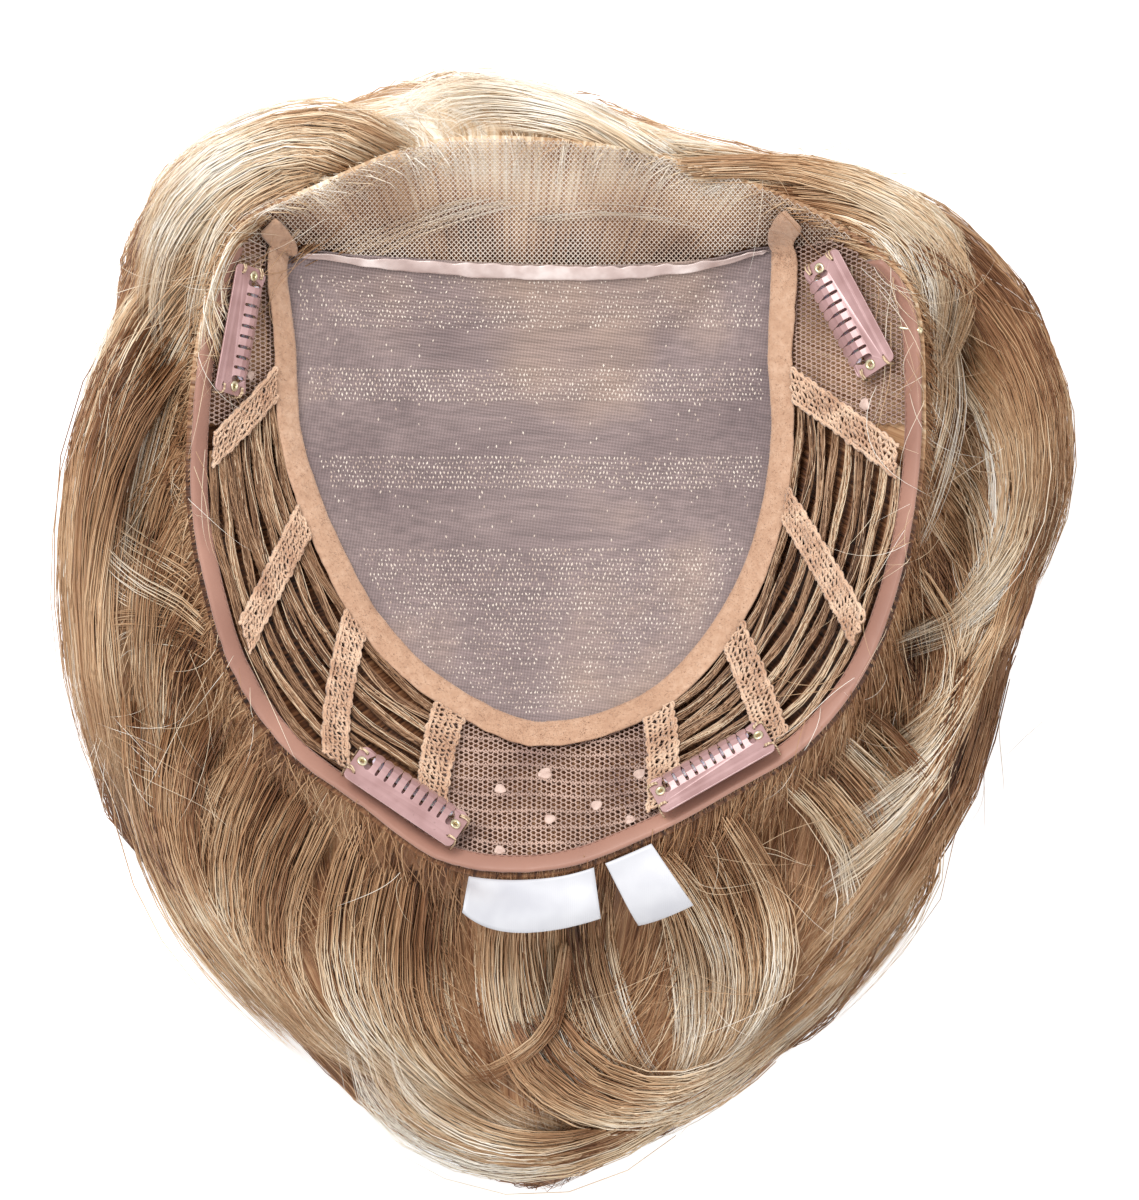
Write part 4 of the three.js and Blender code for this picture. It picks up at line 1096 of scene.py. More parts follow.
BACK_CORNER, TAB_CORNER = 1.6, 2.2  # radii
NARROW, SLOT, WIDE = 0.17, 0.5, 0.95  # half widths of the gap at the tips, and of the slots
SEW_HOLES = [(15.0, -3.9), (14.8, 3.6)]  # the holes in each tab that the thread runs through
back_y, tab_y = comb_back + BACK_CORNER, tab_end - TAB_CORNER
comb_line = arc((-clip_half + BACK_CORNER, back_y), (BACK_CORNER, BACK_CORNER), 180, 270, 6)
comb_line += arc((clip_half - BACK_CORNER, back_y), (BACK_CORNER, BACK_CORNER), 270, 360, 6)
comb_line += arc((clip_half - TAB_CORNER, tab_y), (TAB_CORNER, TAB_CORNER), 0, 90, 7)
for gap in range(CLIP_TEETH, -1, -1):
    middle = -clip_half + CLIP_TAB + gap * tooth_pitch
    at_tab = gap in (0, CLIP_TEETH)
    slot = WIDE if at_tab else SLOT
    shift = 0.25 * (0 if not at_tab else (1 if gap else -1))
    round_up = tooth_pitch / 2 - NARROW
    right_end = tab_end if gap == CLIP_TEETH else tooth_tip - round_up
    if gap == CLIP_TEETH:
        comb_line += [(middle + NARROW, tab_end)]
    comb_line += [(middle + NARROW, y) for y in np.arange(right_end, 3.6, -0.9)]
    comb_line += [(middle + shift + slot, 2.6), (middle + shift + slot, 0.9)]
    comb_line += arc((middle + shift, slot_root + slot), (slot, slot), 0, -180, 7)
    comb_line += [(middle + shift - slot, 0.9), (middle + shift - slot, 2.6)]
    comb_line += [(middle - NARROW, y) for y in np.arange(right_end, 3.6, -0.9)[::-1]]
    if gap > 0:
        tip = (middle - tooth_pitch / 2, tooth_tip - round_up)
        comb_line += arc(tip, (round_up, round_up), 20, 160, 7)
comb_line += [(-clip_half + CLIP_TAB - NARROW, tab_end)]
comb_line += arc((-clip_half + TAB_CORNER, tab_y), (TAB_CORNER, TAB_CORNER), 90, 180, 7)
comb_holes = []
for side in (-1, 1):
    comb_holes.append(arc((side * rivet_x, rivet_y), (0.95, 0.95), 0, -345, 16))
    for (x, y), radii in zip(SEW_HOLES, ((0.75, 0.45), (0.5, 0.75))):
        comb_holes.append(arc((side * x, y), radii, 0, -330, 12))

outline = bpy.data.curves.new("comb outline", "CURVE")
outline.dimensions, outline.fill_mode = "2D", "BOTH"
outline.bevel_depth, outline.bevel_resolution = 0.11, 1
outline.extrude = CLIP_SHEET / 2 - outline.bevel_depth
for line in [comb_line, *comb_holes]:
    spline = outline.splines.new("POLY")
    spline.points.add(len(line) - 1)
    spline.points.foreach_set("co", np.array([(x, y, 0, 1) for x, y in line], float).ravel())
    spline.use_cyclic_u = True
stamped = bpy.data.objects.new("comb outline", outline)
bpy.context.scene.collection.objects.link(stamped)
stamped_mesh = bpy.data.meshes.new_from_object(
    stamped.evaluated_get(bpy.context.evaluated_depsgraph_get())
)
comb_points = np.array([v.co[:] for v in stamped_mesh.vertices])
faces = [list(p.vertices) for p in stamped_mesh.polygons]
comb_quads = np.array([f for f in faces if len(f) == 4], int).reshape(-1, 4)
comb_triangles = np.array([f for f in faces if len(f) == 3], int).reshape(-1, 3)
bpy.data.objects.remove(stamped)
# the teeth bow up from the spine and dip to their tips; the plate arches along its length
tooth_share = np.clip((comb_points[:, 1] - slot_root) / (tooth_tip - slot_root), 0, 1)
tooth_share *= np.abs(comb_points[:, 0]) < clip_half - CLIP_TAB + 0.8
comb_points[:, 2] += 0.3 + 1.3 * np.sin(math.pi * tooth_share) - 1.5 * tooth_share**2
comb_points[:, 2] -= 0.0013 * comb_points[:, 0] ** 2


def bowed(half_length, y, width, thick, drop, steps=36):
    """A strip along the clip that bows away from the comb."""
    x = np.linspace(-half_length, half_length, steps)
    taper = np.clip((half_length - np.abs(x)) / 1.2, 0, 1) ** 0.5 * 0.6 + 0.4
    rings = []
    for t in np.arange(10) * 2 * math.pi / 10:
        sideways = rounded(math.cos(t), 0.5) * width / 2
        upwards = rounded(math.sin(t), 0.7) * thick / 2
        height = -drop - thick / 2 - CLIP_BOW * np.cos(x / clip_half * math.pi / 2) + upwards
        rings.append(np.stack([x, y + sideways * taper, height], -1))
    return skin(np.stack(rings, 1)[None])


def lathe(profile, sides, middle):
    """A turned solid from radii and heights, closed by flat ends."""
    turns = np.arange(sides) * 2 * math.pi / sides
    rings = [
        np.stack([r * np.cos(turns), r * np.sin(turns), np.full(sides, z)], -1) + middle
        for r, z in profile
    ]
    return skin(np.stack(rings)[None])


EYELET = [
    (0.55, -1.9), (0.55, 0.3), (0.65, 0.62), (0.9, 0.8), (1.2, 0.8), (1.42, 0.62), (1.45, 0.45),
    (0.9, 0.3), (0.85, -2.1), (1.4, -2.3), (1.4, -2.5), (0.3, -2.55),
]
CLIPS = [  # name, station, reach, turn, lift, how far it stands up off the cap towards level
    ("front_left", 0.85, 0.74, 0.04, 4.1, 0.0), ("front_right", 16.92, 0.68, -0.18, 4.5, 0.38),
    ("nape_left", 7.3, 0.86, 0.0, 6.6, 0.0), ("nape_right", 10.97, 0.86, 0.0, 6.6, 0.0),
]
random = np.random.default_rng(91)
for name, station, reach, lean, lift, level in CLIPS:
    near = cap(station + 0.25, reach) - cap(station - 0.25, reach)
    half = clip_half * 0.5 / np.linalg.norm(near)
    start = on_cap(station - half, reach - lean / 2, lift)
    stop = on_cap(station + half, reach + lean / 2, lift)
    along = unit(stop - start)
    up = mix(cap_normal(np.array(station), np.array(reach)), np.array([0.0, 0.0, 1.0]), level)
    up = unit(up - (up @ along) * along)
    axes = np.stack([along, np.cross(up, along), up])
    origin = (start + stop) / 2

    def placed(solid):
        return solid[0] @ axes + origin, solid[1], solid[2]

    node = f"clip_{name}_"
    piece(
        node + "enamel_comb", placed((comb_points, comb_quads, comb_triangles)), enamel,
        [node + "comb"], smooth=False,
    )
    bar = bowed(clip_half - 0.3, rivet_y, width=3.0, thick=0.6, drop=0.3)
    piece(node + "sprung_bar", placed(bar), enamel, [node + "bar"])
    grip = bowed(12.6, 3.3, width=2.7, thick=1.1, drop=-0.9)
    piece(node + "silicone", placed(grip), silicone, [node + "grip"])
    for side, end in ((-1, "a"), (1, "b")):
        middle = np.array([side * rivet_x, rivet_y, -0.05])
        piece(
            node + "eyelet_" + end, placed(lathe(EYELET, 20, middle)), plated,
            [node + "rivet_" + end],
        )
    loops = []
    for side in (-1, 1):
        for y in (-4.1, -3.7, 3.3, 3.8):
            hole = SEW_HOLES[0 if y < 0 else 1][0]
            sway = random.normal(0, 0.35)
            loops.append([
                (side * hole, y, -0.8), (side * hole, y, 0.65),
                (side * (hole + 1.2), y + sway, 0.85),
                (side * (clip_half + 0.2), y + 1.6 * sway, 0.3),
                (side * (clip_half + 0.5), y + 2 * sway, -1.6),
                (side * (clip_half + 0.3), y + 2 * sway, -lift + 0.9),
            ])
    sewn = tubes(np.array(loops, float), 0.24, 5)
    piece(node + "thread", placed(sewn), sewing_thread)

# Safety pins: a bright wire pin with a round head holds each front clip's tab to the ribbon
PIN_RADII = [0.3, 0.4, 0.4, 0.42, 0.9, 1.1, 0.8, 0.1]
PIN_PLACES = np.array([0.0, 0.1, 0.5, 0.64, 0.72, 0.85, 0.96, 1.0])
for name, start, stop in [
    ("front_right", (90.5, 45.3), (96.9, 44.3)), ("front_left", (-85.0, 30.6), (-90.0, 31.4)),
]:
    height, _, _, _ = below(np.array(start[0]), np.array(start[1]))
    line = np.array([
        (*mix(np.array(start), np.array(stop), share), height + 3.0 + 1.5 * share)
        for share in PIN_PLACES
    ])
    piece(f"clip_{name}_pin", tubes(line[None], np.array(PIN_RADII), 8), plated)


# Labels: two pieces of woven white satin ribbon, cut hot and sewn in at the nape, left blank. The
# wide one curls up at its left end. Satin has long floats, so it shines along its length.

SATIN_RIB, CREASE_SHADE = 0.0005, 11.1  # the ribs' pitch in metres, and the creases' size in mm
satin, tree = new_material("woven satin label")
place = add(tree, "TexCoord").outputs["Object"]
ribs = add(
    tree, "TexWave",
    {"Vector": place, "Scale": BAND_PERIOD / SATIN_RIB, "Distortion": 0.3},
    bands_direction="X",
)
# painted shade: the satin's colour is darker in patches the size of its creases
crease_shade = add(tree, "TexNoise", {"Vector": place, "Scale": 1000 / CREASE_SHADE, "Detail": 2.0})
tint = add(
    tree, "ValToRGB", {"Fac": crease_shade.outputs["Fac"]}, stops=[(0.3, "#BCBCC2"), (0.7, "#CFCFD3")]
)
raised = add(tree, "Bump", {"Height": ribs.outputs["Fac"], "Strength": 0.12, "Distance": 0.0001})
surface(
    tree,
    Base_Color=tint.outputs["Color"],
    Roughness=0.38,
    Normal=raised.outputs["Normal"],
    Sheen_Weight=0.2,
)

LABEL_THICK, LABEL_DROP = 0.32, 0.3
LABELS = [  # name, station, width, length, skew, tilt at the two ends in degrees
    ("wide", 8.8, 33.0, 14.0, 0.0, (48, -12)), ("narrow", 9.7, 13.0, 19.0, 6.0, (-20, -8)),
]
LABEL_GRID = (28, 18)
for name, at, width, length, skew, tilts in LABELS:
    near = np.linalg.norm(cap(at + 0.25, 1.0) - cap(at - 0.25, 1.0))
    across = np.linspace(0, 1, LABEL_GRID[0])
    station = at + (across - 0.5) * width * 0.5 / near
    rim = on_cap(station, 1.0, 0.9)
    away = unit((rim - CROWN) * [1, 1, 0])
    side = np.stack([-away[:, 1], away[:, 0], 0 * across], -1)
    tilt = np.radians(mix(tilts[0], tilts[1], 1 - (1 - across) ** 2.2))
    faces = []
    for lift in (-LABEL_THICK / 2, LABEL_THICK / 2):
        rows = []
        for share in np.linspace(0, 1, LABEL_GRID[1]):
            bend = tilt + np.radians(14) * math.sin(math.pi * share)
            out = length * share
            row = rim + away * (2.1 + out * np.cos(bend))[:, None]
            row = row + side * skew * share
            row[:, 2] = rim[:, 2] - LABEL_DROP * 2.1 + out * np.sin(bend)
            row[:, 2] += 0.25 * np.sin(across * 7 + 3 * share) * share + lift
            rows.append(row)
        faces.append(np.stack(rows))
    # lower face and upper face as one ring round each column
    rings = np.concatenate([faces[0], faces[1][::-1]]).transpose(1, 0, 2)
    label = piece(
        f"label_{name}_satin", skin(rings[None, ::-1]), satin, [f"label_{name}"]
    )


# Hair: modacrylic fibre in many blond tones, set in loose waves. A dense mat of it lies under the
# cap and round it, and locks fall over the mat from the rim and roll under at the table.

BLOND = [
    (0.0, "#2A1509"), (1.0, "#FDF6EA"), (0.18, "#5A351E"), (0.36, "#8A5E3E"), (0.52, "#B18762"),
    (0.68, "#D0AC86"), (0.84, "#EBD6B8"),
]
hair_fibre = hair_finish("modacrylic hair", 0.42, BLOND, 25)
STREAKS = 620  # noise scale that gives streaks about half a millimetre wide at the rim
combed_hair = hair_finish("modacrylic hair, combed flat", 0.45, BLOND, 25, STREAKS)

HAIR_LIP, HAIR_EDGE, HAIR_UNDER = 2.0, 8.0, 1.2
PROFILE = [1, 1.35, 1.78, 2]  # reaches of the rim, the dip, the hump and the edge


def hair_top(station, reach):
    """The body of the hair outside the rim, where reach is 2 at its outer edge."""
    station, reach = np.broadcast_arrays(np.asarray(station, float), np.asarray(reach, float))
    rim, edge = around(RIM_LOOP, station), around(HAIR_LOOP, station)
    heights = [
        rim[..., 2] - HAIR_LIP, around(DIP_LOOP, station)[..., 2], edge[..., 2],
        HAIR_EDGE + 0 * rim[..., 2],
    ]
    point = rim + (edge - rim) * (reach - 1)[..., None]
    for first in range(3):
        share = (reach - PROFILE[first]) / (PROFILE[first + 1] - PROFILE[first])
        share = np.clip(share, 0, 1)
        height = mix(heights[first], heights[first + 1], share**2 * (3 - 2 * share))
        point[..., 2] = np.where(reach >= PROFILE[first], height, point[..., 2])
    return point


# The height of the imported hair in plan, evened out, which the locks lie on
GRID_STEP, GRID_LOW, GRID_SIZE = 3.0, np.array([-150.0, -204.0]), (102, 112)
hair_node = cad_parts["hair"].data
packed = BVHTree.FromPolygons(
    [v.co * 1000 for v in hair_node.vertices], [list(p.vertices) for p in hair_node.polygons]
)
ground = np.full(GRID_SIZE, np.nan)
for column in range(GRID_SIZE[0]):
    for row in range(GRID_SIZE[1]):
        x, y = GRID_LOW + GRID_STEP * np.array([column, row])
        hit = packed.ray_cast(Vector((x, y, 200)), Vector((0, 0, -1)))[0]
        if hit:
            ground[column, row] = hit.z
FILL_ROUNDS, EVEN_ROUNDS = 12, 2
for step in range(FILL_ROUNDS + EVEN_ROUNDS):
    wide = np.pad(ground, 1, constant_values=np.nan)
    near = np.stack([
        wide[i : i + GRID_SIZE[0], j : j + GRID_SIZE[1]] for i in (0, 1, 2) for j in (0, 1, 2)
    ])
    count = (~np.isnan(near)).sum(0)
    mean = np.nansum(near, 0) / np.maximum(count, 1)
    if step < FILL_ROUNDS:
        ground = np.where(np.isnan(ground) & (count > 0), mean * 0.75, ground)
    else:
        ground = mix(ground, mean, 0.7)
ground = np.nan_to_num(ground, nan=3.0)


def hair_height(x, y):
    column = np.clip((x - GRID_LOW[0]) / GRID_STEP, 0, GRID_SIZE[0] - 1.001)
    row = np.clip((y - GRID_LOW[1]) / GRID_STEP, 0, GRID_SIZE[1] - 1.001)
    i, j = column.astype(int), row.astype(int)
    a, b = column - i, row - j
    low = mix(ground[i, j], ground[i + 1, j], a)
    return mix(low, mix(ground[i, j + 1], ground[i + 1, j + 1], a), b)


# The mat: one closed surface, combed into fine grooves that turn with the hair
MAT_COLUMNS = 480
MAT_SINK = 1.6
# How light the hair is round the cap, from the left front corner on, one value a station
HAIR_TONES = np.array([
    0.60, 0.54, 0.50, 0.49, 0.47, 0.46, 0.46, 0.45, 0.44, 0.45, 0.46, 0.47, 0.47,
    0.46, 0.44, 0.46, 0.50, 0.57, 0.64, 0.72, 0.83, 0.89, 0.90, 0.82, 0.72,
])


def base_tone(station):
    return around(HAIR_TONES[:, None], station)[..., 0]


station = np.linspace(0, len(STATIONS), MAT_COLUMNS, endpoint=False)
FRONT_PART, NAPE_PART = 21.0, 9.3  # stations where the hair parts to the two sides


def turning(station):
    """How the hair turns as it leaves the cap: 1 towards the nape on the left, -1 on the right."""
    station = np.mod(station, len(STATIONS))
    on_left = (station > FRONT_PART) | (station < NAPE_PART)
    from_part = np.minimum(
        np.abs(station - NAPE_PART),
        np.minimum(np.abs(station - FRONT_PART), np.abs(station + 25 - FRONT_PART)),
    )
    return np.where(on_left, 1.0, -1.0) * np.clip(from_part / 1.5, 0.15, 1)


mat_rows, mat_tones = [], []
# below the cap it is in shadow, and that shade is painted into these tones: pale at the
# hairline, brown below the nets, dark below the wefts
UNDER_CAP_SHADE_TONES = np.array([
    0.60, 0.58, 0.25, 0.15, 0.15, 0.15, 0.20, 0.30, 0.32, 0.32, 0.30, 0.20, 0.15,
    0.15, 0.15, 0.25, 0.62, 0.60, 0.46, 0.46, 0.46, 0.46, 0.46, 0.46, 0.46,
])
under_lace = np.clip((3.9 - np.abs(station - 21.0)) / 0.5, 0, 1)
mat_combs = []
SIDE_TURN = 2.6  # how far round the strands run on their way down the side, in stations
for reach in np.linspace(-0.97, 1.0, 16):
    row = on_cap(station, reach, np.full(MAT_COLUMNS, -HAIR_UNDER))
    # under the lace the mat is paler towards the front, the hair's own colour, and darker by the
    # seam, as painted shade, in patches
    hairline_and_seam_shade = np.clip((row[:, 1] - 62) / 24, -0.1, 1) * 0.6 - 0.3
    hairline_and_seam_shade = hairline_and_seam_shade + 0.22 * waves(row[:, 0], row[:, 1], 92, 26)
    mat_rows.append(row)
    mat_combs.append(station)
    mat_tones.append(
        around(UNDER_CAP_SHADE_TONES[:, None], station)[:, 0] + under_lace * (reach > 0) * hairline_and_seam_shade
    )
SIDE = 1.82  # reach at which the top of the roll turns down to its side
TOP_ROWS, SIDE_ROWS, FOOT_ROWS = 28, 13, 3
for reach in (*np.linspace(1.02, 1.8, TOP_ROWS), *np.linspace(SIDE, 2.0, SIDE_ROWS)):
    row = hair_top(station, reach)
    at_rim = max(0, 1 - (reach - 1) / 0.12)  # the evened ground lies too low beside the rim
    ground_here = mix(hair_height(row[:, 0], row[:, 1]), row[:, 2], at_rim)
    row[:, 2] = np.minimum(ground_here, row[:, 2] + 8) - MAT_SINK * (1 - 0.6 * at_rim)
    row[:, 2] = np.maximum(row[:, 2], 2.0)
    down = max(0, (reach - SIDE) / (2 - SIDE))
    combed = 2.2 * (1 - np.cos((reach - 1) * math.pi / 2)) + SIDE_TURN * down
    combed = station - turning(station) * combed
    groove = np.sin(combed * 19 + 2 * np.sin(combed * 3)) * 0.5 + np.sin(combed * 43) * 0.35
    row[:, 2] += groove * 0.7 * math.sin(math.pi * min(1, (reach - 1) * 1.2))
    mat_rows.append(row)
    mat_combs.append(combed)
    ridge = 0.6 * np.sin(combed * 6 + 2 * np.sin(combed)) + 0.4 * np.sin(combed * 9)
    row += unit((row - CROWN) * [1, 1, 0]) * (0.9 * min(1, 3 * down) * ridge)[:, None]
    # painted shade: the side is darker, as in the depth between the strands that lie on it, and
    # the grooves on top and the hollows between the ridges on the side are darker than their crests
    mat_tones.append(
        base_tone(station) * (1 - 0.45 * min(1, 2 * down)) - 0.02 + 0.1 * groove * (1 - down)
        + 0.07 * ridge * down + 0.06 * (reach - 1)
    )
UNDERSIDE = [  # reach and height of the rows at the foot of the side, then of those under it
    (1.996, 10.0), (1.99, 5.5), (1.975, 1.0), (1.93, 0.0), (1.5, 0.0), (1.0, 0.0), (0.0, 0.0),
]
for reach, height in UNDERSIDE:
    row = hair_top(station, reach) if reach >= 1 else cap(station, reach)
    row[:, 2] = np.minimum(height, mat_rows[-1][:, 2])
    mat_rows.append(row)
    combed = combed - 0.45 * turning(station)
    mat_combs.append(combed)
    # painted shade: the foot of the side and the underside, under the roll, are darker
    mat_tones.append(0.58 * base_tone(station))
chart = np.stack(
    [np.clip(np.stack(mat_tones), 0.02, 0.98), (np.stack(mat_combs) + 3) / (len(STATIONS) + 6)], -1
)
piece(
    "hair_mat", skin(np.stack(mat_rows)[None, :, ::-1]), combed_hair, ["hair"],
    chart[:, ::-1].reshape(-1, 2),
)

STRAND_RADIUS = 0.17
random = np.random.default_rng(97)


def strand_radii(count, steps, radius=STRAND_RADIUS):
    """Each strand's radius: thinner at its root and drawn out at its tip."""
    share = np.linspace(0, 1, steps)
    profile = (0.65 + 0.35 * np.sin(math.pi * np.clip(share + 0.15, 0, 1))) * (1 - 0.8 * share**4)
    return radius * random.uniform(0.75, 1.3, (count, 1)) * profile


def hair_strands(name, paths, radii, tones, rise, crest_highlight=0.0):
    """A piece of single strands. The other values are as for shade_of."""
    chart = shade_of(np.clip(tones, 0.03, 0.97), paths.shape[1], 3, rise, crest_highlight)
    piece(name, tubes(paths, radii), hair_fibre, tone=chart)


# Loose undercoat: single strands all round, from the rim to the table
COAT_COUNT, COAT_STEPS = 1150, 8
start = random.uniform(0, len(STATIONS), COAT_COUNT)[:, None]
share = np.linspace(0, 1, COAT_STEPS)[None, :] * random.uniform(0.75, 1.0, (COAT_COUNT, 1))
turn = turning(start) * random.uniform(1.0, 2.9, (COAT_COUNT, 1))
line_station = start + turn * (1 - np.cos(share * math.pi / 2))
line_reach = mix(
    random.uniform(0.97, 1.4, (COAT_COUNT, 1)), random.uniform(1.5, 2.0, (COAT_COUNT, 1)),
    np.sin(share * math.pi / 2),
)
coat = hair_top(line_station, line_reach)
at_rim = np.clip(1 - (line_reach - 1) / 0.12, 0, 1)
coat[..., 2] = mix(np.maximum(hair_height(coat[..., 0], coat[..., 1]), 4), coat[..., 2], at_rim)
coat[..., 2] += random.uniform(-0.9, 1.0, (COAT_COUNT, 1))
coat += 0.8 * random.normal(0, 1, (COAT_COUNT, 1, 3)) * np.sin(share * 5)[..., None] * [1, 1, 0.3]
coat_tone = base_tone(line_station[:, 3]) + random.normal(0, 0.12, COAT_COUNT)
hair_strands("hair_undercoat", coat, strand_radii(COAT_COUNT, COAT_STEPS), coat_tone, 0.1)

# Roots: hair that comes out from under the ribbon and the lace and runs over the rim
ROOT_COUNT, ROOT_STEPS = 1400, 6
start = random.uniform(0, len(STATIONS), ROOT_COUNT)[:, None]
share = np.linspace(0, 1, ROOT_STEPS)[None, :]
at_front = np.clip((4.0 - np.abs(start - 21.0)) / 0.6, 0, 1)
root_station = start + turning(start) * random.uniform(0.1, 1.1, (ROOT_COUNT, 1)) * share**1.5
root_reach = mix(
    0.97 - at_front * random.uniform(0.0, 0.32, (ROOT_COUNT, 1)),
    random.uniform(1.15, 1.5, (ROOT_COUNT, 1)), share,
)
roots = np.where(
    (root_reach < 1)[..., None], on_cap(root_station, root_reach, 0.15 + 0 * root_reach),
    hair_top(root_station, root_reach),
)
past_rim = np.clip((root_reach - 1) / 0.14, 0, 1)
on_ground = np.maximum(hair_height(roots[..., 0], roots[..., 1]) + 0.4, roots[..., 2] * 0.5)
roots[..., 2] = mix(roots[..., 2] + np.where(root_reach > 1, 1.4, 0), on_ground, past_rim)
bow = np.sin(math.pi * share)[..., None] * [1, 1, 0.3]
roots += random.normal(0, 0.5, (ROOT_COUNT, 1, 3)) * bow
root_tone = base_tone(start[:, 0]) + random.normal(0, 0.09, ROOT_COUNT)
hair_strands("hair_roots", roots, strand_radii(ROOT_COUNT, ROOT_STEPS), root_tone, 0.04)

# The side of the roll, down to the table
WALL_COUNT, WALL_STEPS = 1000, 7
start = random.uniform(0, len(STATIONS), WALL_COUNT)[:, None]
share = np.linspace(0, 1, WALL_STEPS)[None, :]
line_station = start + turning(start) * random.uniform(0.6, 2.0, (WALL_COUNT, 1)) * share
EVEN = 24
first = -len(UNDERSIDE) - SIDE_ROWS
side_rows = np.stack(mat_rows[first : first + SIDE_ROWS + FOOT_ROWS])
side = np.empty((EVEN, MAT_COLUMNS + 1, 3))  # points at even steps down the side of the mat
for column in range(MAT_COLUMNS + 1):
    line = side_rows[:, column % MAT_COLUMNS]
    run = np.concatenate([[0], np.cumsum(np.linalg.norm(np.diff(line, axis=0), axis=1))])
    for axis in range(3):
        side[:, column, axis] = np.interp(np.linspace(0, run[-1], EVEN), run, line[:, axis])
depth = random.uniform(-0.2, 1.0, (WALL_COUNT, 1))
depth = depth + share * random.uniform(0.1, 0.6, (WALL_COUNT, 1))
depth = np.clip(depth + 0.04 * np.sin(share * random.uniform(3, 9, (WALL_COUNT, 1))), 0, 0.999)
row, column = depth * (EVEN - 1), np.mod(line_station, len(STATIONS)) * MAT_COLUMNS / len(STATIONS)
i, j = row.astype(int), column.astype(int)
down, along = (row - i)[..., None], (column - j)[..., None]
above, beneath = (mix(side[step, j], side[step, j + 1], along) for step in (i, i + 1))
wall = mix(above, beneath, down)
lift = random.uniform(0.4, 1.3, (WALL_COUNT, 1)) + 1.1 * np.sin(line_station * 5 + depth * 7)
wall += unit((wall - CROWN) * [1, 1, 0]) * np.maximum(lift, 0)[..., None]
wall[..., 2] = np.maximum(wall[..., 2] + 0.25 * lift, 0.3)
wall_radii = strand_radii(WALL_COUNT, WALL_STEPS)
# painted shade: the strands on the side of the roll are darker than the hair above them
wall_tone = base_tone(start[:, 0]) * 0.78 + 0.1 * np.sin(start[:, 0] * 9)
wall_tone = wall_tone + random.normal(0.03, 0.11, WALL_COUNT)
hair_strands("hair_side", wall, wall_radii, wall_tone, 0.06)

